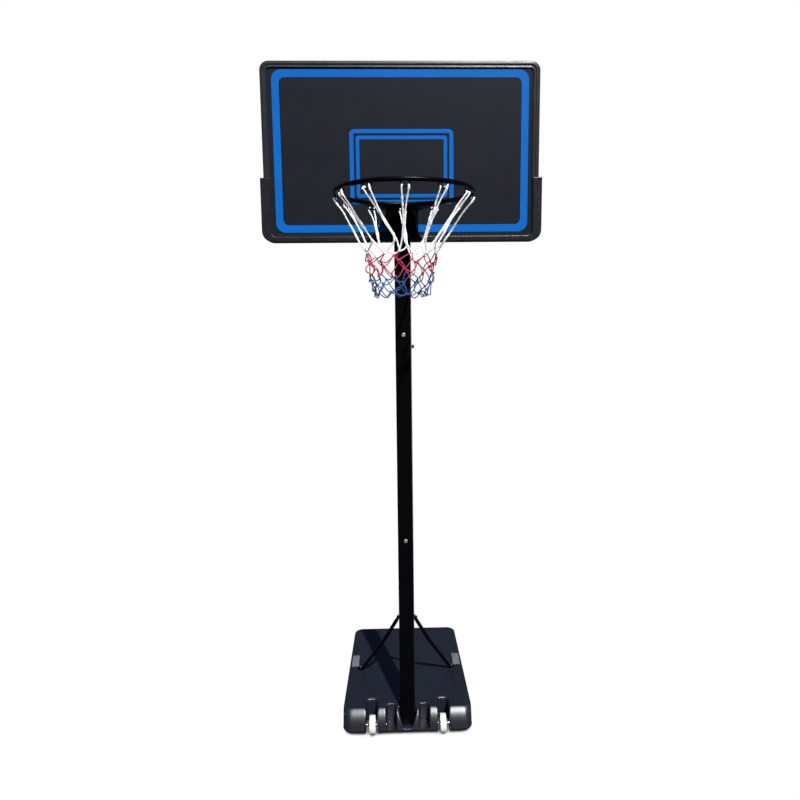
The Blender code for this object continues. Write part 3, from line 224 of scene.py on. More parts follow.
def roundedSheet(bm, corners, radii, steps, place):
    # a flat face whose corners are rounded; place(a, b) puts a corner in space
    old = set(bm.faces)
    face = bm.faces.new([bm.verts.new(place(a, b)) for a, b in corners])
    for vert, radius in zip(list(face.verts), radii):
        if radius > 0:
            bmesh.ops.bevel(bm, geom=[vert], offset=radius, offset_type="OFFSET", segments=steps,
                            profile=0.5, affect="VERTICES", material=-1)
    return [face for face in bm.faces if face not in old][0]


def flat(z):
    return lambda a, b: (a, b, z)


def upright(y):
    return lambda a, b: (a, y, b)


def sheetLoop(bm, corners, radii, steps, place):
    face = roundedSheet(bm, corners, radii, steps, place)
    edges = list(face.edges)
    bmesh.ops.delete(bm, geom=[face], context="FACES_ONLY")
    return edges


def vertsOf(made):
    return [e for e in made if isinstance(e, bmesh.types.BMVert)]


def edgesOf(made):
    return [e for e in made if isinstance(e, bmesh.types.BMEdge)]


def pull(bm, faces, move):
    made = bmesh.ops.extrude_face_region(bm, geom=faces)["geom"]
    bmesh.ops.translate(bm, verts=vertsOf(made), vec=move)


def soften(bm, edges, width, steps):
    bmesh.ops.bevel(bm, geom=edges, offset=width, offset_type="OFFSET", segments=steps, profile=0.5,
                    affect="EDGES", material=-1, clamp_overlap=True)


def sharpEdges(bm, angle=60):
    limit = math.radians(angle)
    return [e for e in bm.edges if len(e.link_faces) == 2 and e.calc_face_angle(0) > limit]


def eased(t):
    return t * t * (3 - 2 * t)


def spun(bm, section, axis, middle, steps, closed=False):
    # turns a half section of (radius, height along the axis) pairs right round
    axis, middle = Vector(axis), Vector(middle)
    side = axis.orthogonal().normalized()
    verts = [bm.verts.new(middle + side * r + axis * h) for r, h in section]
    edges = [bm.edges.new(pair) for pair in zip(verts, verts[1:])]
    if closed:
        edges.append(bm.edges.new((verts[-1], verts[0])))
    bmesh.ops.spin(bm, geom=verts + edges, cent=middle, axis=axis, dvec=(0, 0, 0), angle=2 * math.pi,
                   steps=steps, use_merge=True)
    bmesh.ops.remove_doubles(bm, verts=bm.verts, dist=0.00001)


def meshOf(bm, name):
    mesh = bpy.data.meshes.new(name)
    bm.to_mesh(mesh)
    bm.free()
    return mesh


def joinMesh(bm, other):
    bmesh.ops.recalc_face_normals(other, faces=other.faces)
    part = meshOf(other, "part")
    bm.from_mesh(part)
    bpy.data.meshes.remove(part)


def addBall(bm, radius, stretch, turn, spot):
    ball = bmesh.new()
    bmesh.ops.create_icosphere(ball, subdivisions=2, radius=radius)
    bmesh.ops.scale(ball, vec=stretch, verts=ball.verts)
    bmesh.ops.rotate(ball, cent=(0, 0, 0), matrix=turn, verts=ball.verts)
    bmesh.ops.translate(ball, vec=spot, verts=ball.verts)
    joinMesh(bm, ball)


def showPiece(name, mesh, slot, body, nodes, smooth=35, weighted=False):
    piece = bpy.data.objects.new(name, mesh)
    bpy.context.scene.collection.objects.link(piece)
    mesh.materials.clear()
    mesh.materials.append(finishes[slot])
    mesh.shade_smooth()
    mesh.set_sharp_from_angle(angle=math.radians(smooth))
    if weighted:
        even = piece.modifiers.new("evenShading", "WEIGHTED_NORMAL")
        even.keep_sharp = True
    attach(piece, body)
    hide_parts(*nodes)


def finishPiece(name, bm, *nodes, smooth=35, weighted=False):
    bmesh.ops.recalc_face_normals(bm, faces=bm.faces)
    showPiece(name, meshOf(bm, name), slotOf[nodes[0]], bodyOf[nodes[0]], nodes, smooth, weighted)


def toolObject(bm, name):
    bmesh.ops.recalc_face_normals(bm, faces=bm.faces)
    tool = bpy.data.objects.new(name, meshOf(bm, name))
    bpy.context.scene.collection.objects.link(tool)
    return tool


def evaluated(thing):
    # the mesh that an object's modifiers or curves make; the object itself goes
    view = bpy.context.evaluated_depsgraph_get()
    mesh = bpy.data.meshes.new_from_object(thing.evaluated_get(view))
    bpy.data.objects.remove(thing)
    return mesh


def bmeshOf(mesh):
    bm = bmesh.new()
    bm.from_mesh(mesh)
    bpy.data.meshes.remove(mesh)
    return bm


def carve(bm, tools):
    # cuts the tools out of a shape, and returns the result as a new bmesh
    block = toolObject(bm, "block")
    for tool in tools:
        cut = block.modifiers.new("cut", "BOOLEAN")
        cut.operation = "DIFFERENCE"
        cut.solver = "EXACT"
        cut.object = tool
    result = bmeshOf(evaluated(block))
    for tool in tools:
        bpy.data.objects.remove(tool)
    bmesh.ops.remove_doubles(result, verts=result.verts, dist=0.00002)
    return result


def remoulded(bm, kind, **settings):
    # runs a shape through one modifier and hands back the result
    block = toolObject(bm, "block")
    step = block.modifiers.new(kind.lower(), kind)
    for name, value in settings.items():
        setattr(step, name, value)
    return bmeshOf(evaluated(block))


def slab(corners, radii, steps, place, move):
    # a sheet with rounded corners, pulled out to its thickness
    bm = bmesh.new()
    pull(bm, [roundedSheet(bm, corners, radii, steps, place)], move)
    return bm


def squareSlab(side, corner, steps, foot, height):
    # a square plate around the pole's axis
    return slab(rectangle(side, side), [corner] * 4, steps, flat(foot), (0, 0, height))


def upperRim(bm, height):
    return [e for e in sharpEdges(bm) if min(v.co.z for v in e.verts) > height]


def cordMesh(paths, radius):
    # round bars along paths of points, as one mesh
    line = bpy.data.curves.new("line", "CURVE")
    line.dimensions = "3D"
    line.bevel_depth = radius
    line.bevel_resolution = 3
    line.use_fill_caps = True
    for path in paths:
        run = line.splines.new("POLY")
        run.points.add(len(path) - 1)
        for spot, point in zip(run.points, path):
            spot.co = (*point, 1)
    thing = bpy.data.objects.new("line", line)
    bpy.context.scene.collection.objects.link(thing)
    return evaluated(thing)


def smoothPath(points, steps):
    # points along a smooth line through the given ones
    spots = [Vector(p) for p in points]
    spots = [2 * spots[0] - spots[1]] + spots + [2 * spots[-1] - spots[-2]]
    path = []
    for a, b, c, d in zip(spots, spots[1:], spots[2:], spots[3:]):
        for k in range(steps):
            t = k / steps
            path.append(0.5 * (2 * b + (c - a) * t + (2 * a - 5 * b + 4 * c - d) * t**2
                               + (3 * b - a - 3 * c + d) * t**3))
    return path + [spots[-2]]


# Pole
pole = {"side": 0.068, "wall": 0.0015, "corner": 0.006, "foot": 0.012, "lowerJoint": 0.852,
        "upperJoint": 1.762, "top": 2.6973, "neckSide": 0.0642, "neckCorner": 0.0041, "neckLap": 0.02,
        "neckTop": 0.937, "slideFoot": 0.952, "slideTop": 1.892, "edge": 0.0005, "capHeight": 0.0057,
        "capRound": 0.003, "plugSide": 0.0644, "plugCorner": 0.0042, "plugDepth": 0.015, "plugLap": 0.0005}


def squareTube(bm, side, corner, foot, top):
    sheet = bmesh.new()
    face = roundedSheet(sheet, rectangle(side, side), [corner] * 4, 8, flat(foot))
    bmesh.ops.inset_region(sheet, faces=[face], thickness=pole["wall"], use_boundary=True,
                           use_even_offset=True)
    bmesh.ops.delete(sheet, geom=[face], context="FACES")
    pull(sheet, sheet.faces[:], (0, 0, top - foot))
    ends = [e for e in sharpEdges(sheet) if abs(e.verts[0].co.z - e.verts[1].co.z) < nearly]
    soften(sheet, ends, pole["edge"], 2)
    joinMesh(bm, sheet)


def makePoles():
    wide, narrow = (pole["side"], pole["corner"]), (pole["neckSide"], pole["neckCorner"])
    lower, upper = pole["lowerJoint"], pole["upperJoint"]
    runs = {
        "lower": [(*wide, pole["foot"], lower), (*narrow, lower - pole["neckLap"], pole["neckTop"])],
        "middle": [(*wide, lower + gap, upper)],
        "sliding": [(*narrow, pole["slideFoot"], pole["slideTop"])],
        "upper": [(*wide, upper + gap, pole["top"])],
    }
    for name, pieces in runs.items():
        tube = bmesh.new()
        for piece in pieces:
            squareTube(tube, *piece)
        node = "inner_pole" if name == "sliding" else name + "_pole"
        finishPiece("pole_" + name + "_tube", tube, node, weighted=True)


def makePoleCap():
    top, depth = pole["top"], pole["plugDepth"]
    lid = squareSlab(pole["side"], pole["corner"], 8, top + gap, pole["capHeight"])
    soften(lid, upperRim(lid, top + pole["capHeight"] / 2), pole["capRound"], 5)
    joinMesh(lid, squareSlab(pole["plugSide"], pole["plugCorner"], 4, top - depth, depth + pole["plugLap"]))
    finishPiece("pole_top_cap", lid, "pole_cap", weighted=True)


makePoles()
makePoleCap()
print("pole: 4 tubes and a cap")


# Ballast tank
tank = {"frontY": -0.066, "backY": 0.700, "frontWidth": 0.592, "backWidth": 0.563, "height": 0.106,
        "corner": 0.040, "barrel": 0.118, "barrelFoot": 0.016, "edgeRoll": 0.010, "footRound": 0.026,
        "stepZ": 0.027, "step": 0.0016, "levels": 12, "levelStart": 0.006, "levelRise": 0.0058,
        "well": {"x": 0.1635, "radius": 0.026, "back": 0.045, "foot": -0.02, "flare": 0.009,
                 "backFlare": 0.012},
        "flute": {"x": 0.075, "radius": 0.0245, "back": 0.005, "foot": 0.022, "flare": 0.003,
                  "backFlare": 0.006},
        "grooveRound": 0.66, "grooveAhead": 0.13, "mouthOuter": 0.018, "mouthInner": 0.011, "mouthLap": 0.002,
        "mouthAhead": 0.03, "saddleFoot": 0.027, "saddleLow": 0.038, "saddleHigh": 0.094,
        "saddleBack": -0.017, "saddleRound": 0.008, "saddleAhead": 0.12, "saddleAbove": 0.04,
        "pocket": 0.0692, "pocketFloor": 0.0117, "pocketCorner": 0.006, "voxel": 0.0024, "smoothing": 5,
        "kept": 0.3, "crispZ": 0.033, "crispX": 0.105, "crispY": (-0.05, 0.02), "cornerLap": 0.001,
        "cornerZ": 0.0032,
        "deckSkin": 0.002, "deckFront": 0.066, "creaseY": 0.312, "creaseDepth": 0.0020, "creaseWidth": 0.012,
        "creaseHalf": 0.226, "creaseFade": 0.03, "bandX": 0.222, "bandDepth": 0.0032, "bandWidth": 0.013,
        "bandLean": 0.03, "bandFrom": 0.07, "bandFade": 0.05, "fillerY": 0.52, "neckBore": 0.016,
        "neckRadius": 0.0205, "neckFoot": 0.104, "neckTop": 0.114}


def rounding(depth, share):
    # how far a rounded edge has drawn in at a share of its height
    return depth - depth * math.sqrt(max(0.0, 1 - min(1.0, max(0.0, share)) ** 2))


def tankLevel(bm, z, keep):
    foot = rounding(tank["footRound"], (tank["footRound"] - z) / tank["footRound"])
    foot += tank["step"] if z > tank["stepZ"] else 0
    front = foot + rounding(tank["barrel"], (z - tank["barrelFoot"]) / tank["barrel"])
    edge = foot + rounding(tank["edgeRoll"], (z - tank["height"] + tank["edgeRoll"]) / tank["edgeRoll"])
    w, v = tank["frontWidth"] / 2 - edge, tank["backWidth"] / 2 - edge
    corners = [(-w, tank["frontY"] + front), (w, tank["frontY"] + front),
               (v, tank["backY"] - edge), (-v, tank["backY"] - edge)]
    face = roundedSheet(bm, corners, [tank["corner"]] * 4, 10, flat(z))
    edges = list(face.edges)
    if not keep:
        bmesh.ops.delete(bm, geom=[face], context="FACES_ONLY")
    return edges


def stack(bm, loops):
    for low, high in zip(loops, loops[1:]):
        bmesh.ops.bridge_loops(bm, edges=low + high)


def tankBody():
    bm = bmesh.new()
    top = tank["height"]
    heights = [tank["footRound"] * (1 - math.cos(math.radians(a))) for a in range(0, 91, 15)]
    heights += [tank["stepZ"] - 0.0008, tank["stepZ"] + 0.0012]
    heights += [tank["stepZ"] + tank["levelStart"] + tank["levelRise"] * k for k in range(tank["levels"])]
    heights += [top - tank["edgeRoll"] * (1 - math.sin(math.radians(a))) for a in range(0, 91, 10)]
    heights = sorted(heights)
    stack(bm, [tankLevel(bm, z, k in (0, len(heights) - 1)) for k, z in enumerate(heights)])
    return bm


def grooveTool(side, groove):
    # a slot with rounded back corners whose rim widens towards the deck
    bm = bmesh.new()
    top, ahead, flare = tank["height"], tank["grooveAhead"], groove["flare"]
    levels = [(groove["foot"], 0)]
    for turn in (0, 20, 40, 55, 68, 80, 90):
        a = math.radians(turn)
        levels.append((top - flare * (1 - math.sin(a)), 1 - math.cos(a)))
    levels.append((top + 0.03, 1))
    loops = []
    for z, share in levels:
        r, end = groove["radius"] + flare * share, groove["back"] + groove["backFlare"] * share
        bend = r * tank["grooveRound"]
        corners = rectangle(2 * r, end + ahead, (side * groove["x"], (end - ahead) / 2))
        face = roundedSheet(bm, corners, [0, 0, bend, bend], 14, flat(z))
        loops.append(list(face.edges))
        if 1 < len(loops) < len(levels):
            bmesh.ops.delete(bm, geom=[face], context="FACES_ONLY")
    stack(bm, loops)
    return toolObject(bm, "groove")


def mouthTool(side, flank):
    # rounds a hump's upright edge beside a well
    r, lap = tank["mouthOuter"] if side == flank else tank["mouthInner"], tank["mouthLap"]
    front, well = tank["frontY"], tank["well"]
    x, ahead = side * well["x"] + flank * (well["radius"] - lap), front - tank["mouthAhead"]
    turns = [math.radians(a) for a in range(0, 91, 15)]
    arc = [(x + flank * (lap + r - r * math.cos(t)), front + r - r * math.sin(t)) for t in turns]
    outline = arc + [(x + flank * (r + lap), ahead), (x, ahead), (x, front + r)]
    bm = bmesh.new()
    face = bm.faces.new([bm.verts.new((a, b, -0.01)) for a, b in outline])
    pull(bm, [face], (0, 0, 0.16))
    return toolObject(bm, "mouth")


def pocketTool():
    # the square pocket that the pole stands in
    floor, high = tank["pocketFloor"], tank["height"] + 0.05
    return toolObject(squareSlab(tank["pocket"], tank["pocketCorner"], 5, floor, high - floor), "pocket")


def saddleTool():
    # the V in front of the pole
    foot, above, ahead = tank["saddleFoot"], tank["saddleAbove"], tank["saddleAhead"]
    slope = (tank["saddleHigh"] - tank["saddleLow"]) / 2 / (tank["height"] - foot)
    low, wide, high = tank["saddleLow"] / 2, tank["saddleHigh"] / 2 + slope * above, tank["height"] + above
    corners = [(-low, foot), (low, foot), (wide, high), (-wide, high)]
    radii = [tank["saddleRound"]] * 2 + [0, 0]
    block = slab(corners, radii, 5, upright(-ahead), (0, tank["saddleBack"] + ahead, 0))
    return toolObject(block, "saddle")


def tankTools():
    tools = []
    for side in (-1, 1):
        tools += [grooveTool(side, tank["well"]), grooveTool(side, tank["flute"])]
        tools += [mouthTool(side, -1), mouthTool(side, 1)]
    return tools + [pocketTool(), saddleTool()]


def deckWave(spot):
    # how far the deck is pressed in at a point
    def window(value, low, high, soft):
        return eased(max(0.0, min(1.0, min(value - low, high - value) / soft)))

    x, y = abs(spot.x), spot.y
    crease = tank["creaseDepth"] * math.exp(-((y - tank["creaseY"]) / tank["creaseWidth"]) ** 2)
    crease *= window(x, -1, tank["creaseHalf"], tank["creaseFade"])
    aside = x - tank["bandX"] + tank["bandLean"] * (y - 0.1)
    band = tank["bandDepth"] * math.exp(-(aside / tank["bandWidth"]) ** 2)
    band *= window(y, tank["bandFrom"], tank["creaseY"], tank["bandFade"])
    return max(crease, band)


def makeTank():
    # a fine skin, softened, makes every carved edge come out round as in blow moulding
    bm = remoulded(carve(tankBody(), tankTools()), "REMESH", mode="VOXEL", voxel_size=tank["voxel"])
    # the corners at the grooves' floors stay crisp
    near, far = tank["crispY"]
    soft = [v for v in bm.verts
            if v.co.z > tank["crispZ"] or abs(v.co.x) > tank["crispX"] or not near < v.co.y < far]
    for count in range(tank["smoothing"]):
        bmesh.ops.smooth_vert(bm, verts=soft, factor=0.5, use_axis_x=True, use_axis_y=True, use_axis_z=True)
    top, flute, lap = tank["height"], tank["flute"], tank["cornerLap"]
    for vert in bm.verts:
        if vert.co.z > top - tank["deckSkin"] and vert.co.y > tank["deckFront"]:
            vert.co.z -= deckWave(vert.co)
        # the flutes' floors meet the walls in a sharp corner
        aside = abs(abs(vert.co.x) - flute["x"]) < flute["radius"] + lap
        low = abs(vert.co.z - flute["foot"]) < tank["cornerZ"]
        if aside and low and vert.co.y < flute["back"] + lap:
            vert.co.z = flute["foot"]
    dense = len(bm.faces)
    bm = remoulded(bm, "DECIMATE", ratio=tank["kept"])
    print("tank: %d faces moulded, %d kept" % (dense, len(bm.faces)))
    neck = bmesh.new()
    bore, radius, foot, rim = tank["neckBore"], tank["neckRadius"], tank["neckFoot"], tank["neckTop"]
    section = [(bore, foot), (bore, rim), (radius, rim), (radius, foot)]
    spun(neck, section, (0, 0, 1), (0, tank["fillerY"], 0), 48, closed=True)
    joinMesh(bm, neck)
    finishPiece("ballast_tank", bm, "base_tank", smooth=50, weighted=True)


makeTank()


# Wheels and axles
wheel = {"radius": 0.040, "width": 0.027, "x": 0.160, "y": -0.046, "z": 0.0405, "rim": 0.008, "web": 0.013,
         "hub": 0.012, "edge": 0.003, "bore": 0.0041, "ribs": 6, "ribThickness": 0.0025, "ribEdge": 0.0004}
axle = {"radius": 0.004, "headRadius": 0.0065, "headDepth": 0.0025}


def makeWheel(side, label):
    bm = bmesh.new()
    half, web = wheel["width"] / 2, wheel["web"] / 2
    rim, hub, e = wheel["radius"] - wheel["rim"], wheel["hub"], wheel["edge"]
    tread = []
    for turn in range(90, -1, -15):
        a = math.radians(turn)
        tread.append((wheel["radius"] - e * (1 - math.cos(a)), half - e * (1 - math.sin(a))))
    flank = [(rim, -half), (rim - 0.001, -half + 0.001), (rim - 0.002, -web), (hub + 0.001, -web),
             (hub, -web - 0.001), (hub, -half), (wheel["bore"], -half)]
    section = []
    for part in (tread, flank):
        section += part + [(r, -h) for r, h in reversed(part)]
    middle = (side * wheel["x"], wheel["y"], wheel["z"])
    spun(bm, section, (1, 0, 0), middle, 64, closed=True)
    for k in range(wheel["ribs"]):
        rib = bmesh.new()
        turn = Matrix.Rotation(2 * math.pi * k / wheel["ribs"], 3, "X")
        bmesh.ops.create_cube(rib, size=1)
        bmesh.ops.scale(rib, vec=(wheel["width"] - 0.003, wheel["ribThickness"], rim - hub), verts=rib.verts)
        bmesh.ops.translate(rib, vec=(0, 0, (rim + hub) / 2 - 0.0005), verts=rib.verts)
        bmesh.ops.rotate(rib, cent=(0, 0, 0), matrix=turn, verts=rib.verts)
        bmesh.ops.translate(rib, vec=middle, verts=rib.verts)
        soften(rib, rib.edges[:], wheel["ribEdge"], 1)
        joinMesh(bm, rib)
    finishPiece(label + "_wheel_moulding", bm, label + "_wheel")


def makeAxle(side, label):
    low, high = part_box(label + "_wheel_axle")
    head, blind = sorted((side * low.x, side * high.x))
    radius, wide, face = axle["radius"], axle["headRadius"], head + axle["headDepth"]
    section = [(0, head), (radius, head), (wide - 0.001, head + 0.0004), (wide, head + 0.0014), (wide, face)]
    section += [(radius, face), (radius, blind - 0.0006), (radius - 0.0006, blind), (0, blind)]
    bm = bmesh.new()
    spun(bm, section, (side, 0, 0), (0, wheel["y"], wheel["z"]), 32)
    finishPiece(label + "_axle_pin", bm, label + "_wheel_axle")


for side, label in bothSides:
    makeWheel(side, label)
    makeAxle(side, label)
print("wheels: 2, with their pins")


# Bolts, nuts and washers
bolt = {"across": 0.013, "sides": 36, "crown": 0.97, "corner": 1.02, "fall": 30, "nutBore": 0.0043,
        "washerBore": 0.0045, "washerEdge": 0.0002}


def hexBody(bm, across, low, high, bore=None):
    # a hexagon along Z with its corners turned off: a nut where it has a bore, or else a bolt's head
    half = across / 2
    crown, corner, fall = half * bolt["crown"], half * bolt["corner"], math.tan(math.radians(bolt["fall"]))

    def reach(angle):
        return half / math.cos((angle % (math.pi / 3)) - math.pi / 6)

    rings = [lambda a: (min(reach(a), corner), low),
             lambda a: (reach(a), low + max(0, reach(a) - corner) * fall),
             lambda a: (reach(a), high - max(0, reach(a) - crown) * fall),
             lambda a: (crown, high)]
    if bore:
        rings += [lambda a: (bore * 1.12, high), lambda a: (bore, high - bore * 0.12),
                  lambda a: (bore, low + bore * 0.12), lambda a: (bore * 1.12, low)]
    else:
        rings += [lambda a: (crown * 0.72, high), lambda a: (crown * 0.62, high - 0.0004)]
    verts = bmesh.ops.create_circle(bm, cap_ends=False, segments=bolt["sides"], radius=1)["verts"]
    edges = first = bm.edges[:]
    for number, ring in enumerate(rings):
        if number:
            made = bmesh.ops.extrude_edge_only(bm, edges=edges)["geom"]
            verts, edges = vertsOf(made), edgesOf(made)
        for vert in verts:
            angle = math.atan2(vert.co.y, vert.co.x)
            radius, height = ring(angle)
            vert.co = (radius * math.cos(angle), radius * math.sin(angle), height)
    if bore:
        bmesh.ops.bridge_loops(bm, edges=first + edges)
    else:
        bmesh.ops.contextual_create(bm, geom=first)
        bmesh.ops.contextual_create(bm, geom=edges)


def turnTo(bm, direction, spot):
    turn = Vector((0, 0, 1)).rotation_difference(Vector(direction)).to_matrix()
    bmesh.ops.rotate(bm, cent=(0, 0, 0), matrix=turn, verts=bm.verts)
    bmesh.ops.translate(bm, vec=spot, verts=bm.verts)


def boltEnds(node, axis, sign):
    low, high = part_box(node)
    ends = (high[axis], low[axis]) if sign > 0 else (low[axis], high[axis])
    spot = (low + high) / 2
    spot[axis] = 0
    direction = [0, 0, 0]
    direction[axis] = sign
    return spot, direction, ends[0] * sign, ends[1] * sign


def makeBolt(node, axis, sign, across=bolt["across"], height=0.0053, radius=0.004, thread=0.012):
    # head at the sign end of the axis, thread at the other
    spot, direction, top, tail = boltEnds(node, axis, sign)
    bm = bmesh.new()
    hexBody(bm, across, top - height, top)
    rod = bmesh.new()
    section = [(0, tail), (radius * 0.72, tail), (radius * 0.95, tail + radius * 0.25)]
    pitch = radius * 0.3
    for k in range(int(thread / pitch)):
        base = tail + radius * 0.25 + pitch * k
        section += [(radius * 0.86, base + pitch * 0.35), (radius, base + pitch * 0.85)]
    section += [(radius, top - height + 0.0002), (0, top - height + 0.0002)]
    spun(rod, section, (0, 0, 1), (0, 0, 0), 24)
    joinMesh(bm, rod)
    turnTo(bm, direction, spot)
    finishPiece(node + "_turned", bm, node, smooth=28)


def makeNut(node, axis):
    spot, direction, top, foot = boltEnds(node, axis, 1)
    bm = bmesh.new()
    hexBody(bm, bolt["across"], foot, top, bolt["nutBore"])
    turnTo(bm, direction, spot)
    finishPiece(node + "_turned", bm, node, smooth=28)


def makeWasher(node, axis):
    spot, direction, top, foot = boltEnds(node, axis, 1)
    low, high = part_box(node)
    radius, bore, e = max(high - low) / 2, bolt["washerBore"], bolt["washerEdge"]
    bm = bmesh.new()
    section = [(bore, foot), (radius - e, foot), (radius, foot + e), (radius, top - e), (radius - e, top)]
    spun(bm, section + [(bore, top)], (0, 0, 1), (0, 0, 0), 40, closed=True)
    turnTo(bm, direction, spot)
    finishPiece(node + "_pressed", bm, node)


for joint in ("lower_joint", "upper_joint"):
    makeBolt(joint + "_bolt", 1, -1)
    makeNut(joint + "_nut", 1)
    makeWasher(joint + "_washer", 1)
for cross in ("upper_bracket", "lower_bracket", "brace", "anchor"):
    makeBolt(cross + "_bolt", 0, -1)
    makeNut(cross + "_nut", 0)
for row in ("lower", "upper"):
    for label in ("left", "right"):
        makeBolt(row + "_" + label + "_hoop_bolt", 1, -1)
        makeNut(row + "_" + label + "_hoop_nut", 1)
for label in ("left", "right"):
    makeBolt(label + "_foot_bolt", 2, 1, across=0.010, height=0.004, radius=0.003)
makeBolt("lock_screw", 0, 1, thread=0.004)
makeNut("lock_weld_nut", 0)
makeWasher("lock_washer", 0)
print("fasteners: turned")


# Braces
brace = {"topZ": 0.530, "topX": 0.0368, "footX": 0.231, "footY": 0.298, "radius": 0.0085, "flat": 0.005,
         "flatWidth": 0.024, "end": 0.013, "neck": 0.030, "sag": 0.020, "sagAt": 0.36, "bendReach": 0.04,
         "square": 0.55, "edge": 0.0008, "sides": 28}


def braceStations(side):
    half = brace["flat"] / 2
    top = Vector((side * brace["topX"], 0, brace["topZ"]))
    foot = Vector((side * brace["footX"], brace["footY"], tank["height"] + gap + half))
    run = foot - top
    bend = top + run * brace["sagAt"] - Vector((0, 0, brace["sag"]))
    start = Vector((0, run.y, bend.z - top.z)).normalized()
    end = Vector((run.x, run.y, 0)).normalized()
    afterTop, beforeFoot = top + start * brace["end"], foot - end * brace["end"]
    upper, lower = (bend - afterTop).normalized(), (beforeFoot - bend).normalized()
    roundTop, roundFoot = afterTop + upper * brace["neck"], beforeFoot - lower * brace["neck"]
    reach = brace["bendReach"]
    # each station: place, share of the turn from the top's flat to the foot's, and how flat it is
    stations = [(top - start * brace["end"], 0, 1), (top, 0, 1), (afterTop, 0, 1)]
    for t in (0.25, 0.5, 0.75):
        stations.append((afterTop.lerp(roundTop, t), 0.15 * t, 1 - eased(t)))
    stations += [(roundTop, 0.15, 0), (roundTop.lerp(bend, 0.5), 0.3, 0)]
    for t in (0, 0.25, 0.5, 0.75, 1):
        curve = (bend - upper * reach).lerp(bend, t).lerp(bend.lerp(bend + lower * reach, t), t)
        stations.append((curve, 0.4 + 0.2 * t, 0))
    stations += [(bend.lerp(roundFoot, 0.5), 0.7, 0), (roundFoot, 0.85, 0)]
    for t in (0.25, 0.5, 0.75):
        stations.append((roundFoot.lerp(beforeFoot, t), 0.85 + 0.15 * t, eased(t)))
    stations += [(beforeFoot, 1, 1), (foot, 1, 1), (foot + end * brace["end"], 1, 1)]
    return stations


def placeKey(vert):
    return tuple(round(c, 6) for c in vert.co)


def makeBrace(side, label):
    bm = bmesh.new()
    verts = bmesh.ops.create_circle(bm, cap_ends=False, segments=brace["sides"], radius=1)["verts"]
    edges = bm.edges[:]
    stations = braceStations(side)
    thinTop, thinFoot = Vector((side, 0, 0)), Vector((0, 0, 1))
    ends = []
    turns = [2 * math.pi * k / brace["sides"] for k in range(brace["sides"])]
    for index, (spot, share, flatness) in enumerate(stations):
        if index:
            made = bmesh.ops.extrude_edge_only(bm, edges=edges)["geom"]
            near = {placeKey(v): v for v in vertsOf(made)}
            verts = [near[placeKey(v)] for v in verts]
            edges = edgesOf(made)
        before, after = stations[max(index - 1, 0)][0], stations[min(index + 1, len(stations) - 1)][0]
        along = (after - before).normalized()
        thin = thinTop.lerp(thinFoot, share)
        thin = (thin - along * thin.dot(along)).normalized()
        wide = along.cross(thin)
        halfThin = brace["radius"] + (brace["flat"] / 2 - brace["radius"]) * flatness
        halfWide = brace["radius"] + (brace["flatWidth"] / 2 - brace["radius"]) * flatness
        power = 1 - brace["square"] * flatness
        for vert, turn in zip(verts, turns):
            c, s = math.cos(turn), math.sin(turn)
            across = math.copysign(abs(c) ** power, c) * halfThin
            vert.co = spot + thin * across + wide * s * halfWide
        if index in (0, len(stations) - 1):
            ends.append(edges)
    for loop in ends:
        bmesh.ops.contextual_create(bm, geom=loop)
    soften(bm, sharpEdges(bm), brace["edge"], 2)
    finishPiece(label + "_brace_tube", bm, label + "_brace", smooth=40)


for side, label in bothSides:
    makeBrace(side, label)
print("braces: 2")


# Board: frame, panel, painted lines
board = {"width": 1.100, "foot": 2.184, "top": 2.868, "front": -0.0771, "back": -0.0371, "corner": 0.035,
         "lipSide": 0.028, "lipTop": 0.024, "lipFoot": 0.026, "lipCorner": 0.014, "panelFront": -0.0711,
         "panelBack": -0.0661, "panelMargin": 0.008, "stripeFront": -0.0720, "stripeBack": -0.0714,
         "rimDrop": 0.0012, "rimRound": 0.003, "reliefTop": 2.27}
# across the frame, each (share of the lip's width, depth behind the front):
# crowned land, step down, gutter, then a flank that climbs to the rim of the opening
frameProfile = [(0.24, 0.0007), (0.34, 0.0003), (0.43, 0.0), (0.50, 0.0), (0.54, 0.0006), (0.58, 0.0022),
                (0.72, 0.0026), (0.79, 0.0025), (0.83, 0.0019), (0.95, 0.0010), (0.98, 0.0009), (1, 0.0013)]
stripes = {
    "painted_border": {"node": "border_stripe", "width": 1.012, "foot": 2.216, "top": 2.8365, "line": 0.029,
                       "corner": 0.038, "innerCorner": 0.023},
    "painted_target": {"node": "target_outer_stripe", "width": 0.413, "foot": 2.326, "top": 2.614,
                       "line": 0.016, "corner": 0.020, "innerCorner": 0.004},
    "painted_target_core": {"node": "target_inner_stripe", "width": 0.363, "foot": 2.351, "top": 2.589,
                            "line": 0.014, "corner": 0.011, "innerCorner": 0.004},
}
plateSize = {"half": 0.064, "foot": 2.203, "top": 2.308, "front": -0.0763, "back": -0.0723, "corner": 0.006,
             "edge": 0.0006}


def tallSlab(width, foot, top, radius, steps, front, back):
    # a plate that stands in the board's plane, centred on the pole
    corners = rectangle(width, top - foot, (0, (foot + top) / 2))
    return slab(corners, [radius] * 4, steps, upright(front), (0, back - front, 0))


def frameLoop(bm, share, y, extra):
    # loop round the board: share 0 is the outer edge, 1 the lip's inner edge
    low = board["foot"] + share * board["lipFoot"] + extra
    high = board["top"] - share * board["lipTop"] - extra
    width = board["width"] - 2 * (share * board["lipSide"] + extra)
    radius = board["corner"] + (board["lipCorner"] - board["corner"]) * share - extra * 0.5
    corners = rectangle(width, high - low, (0, (low + high) / 2))
    return sheetLoop(bm, corners, [radius] * 4, 10, upright(y))


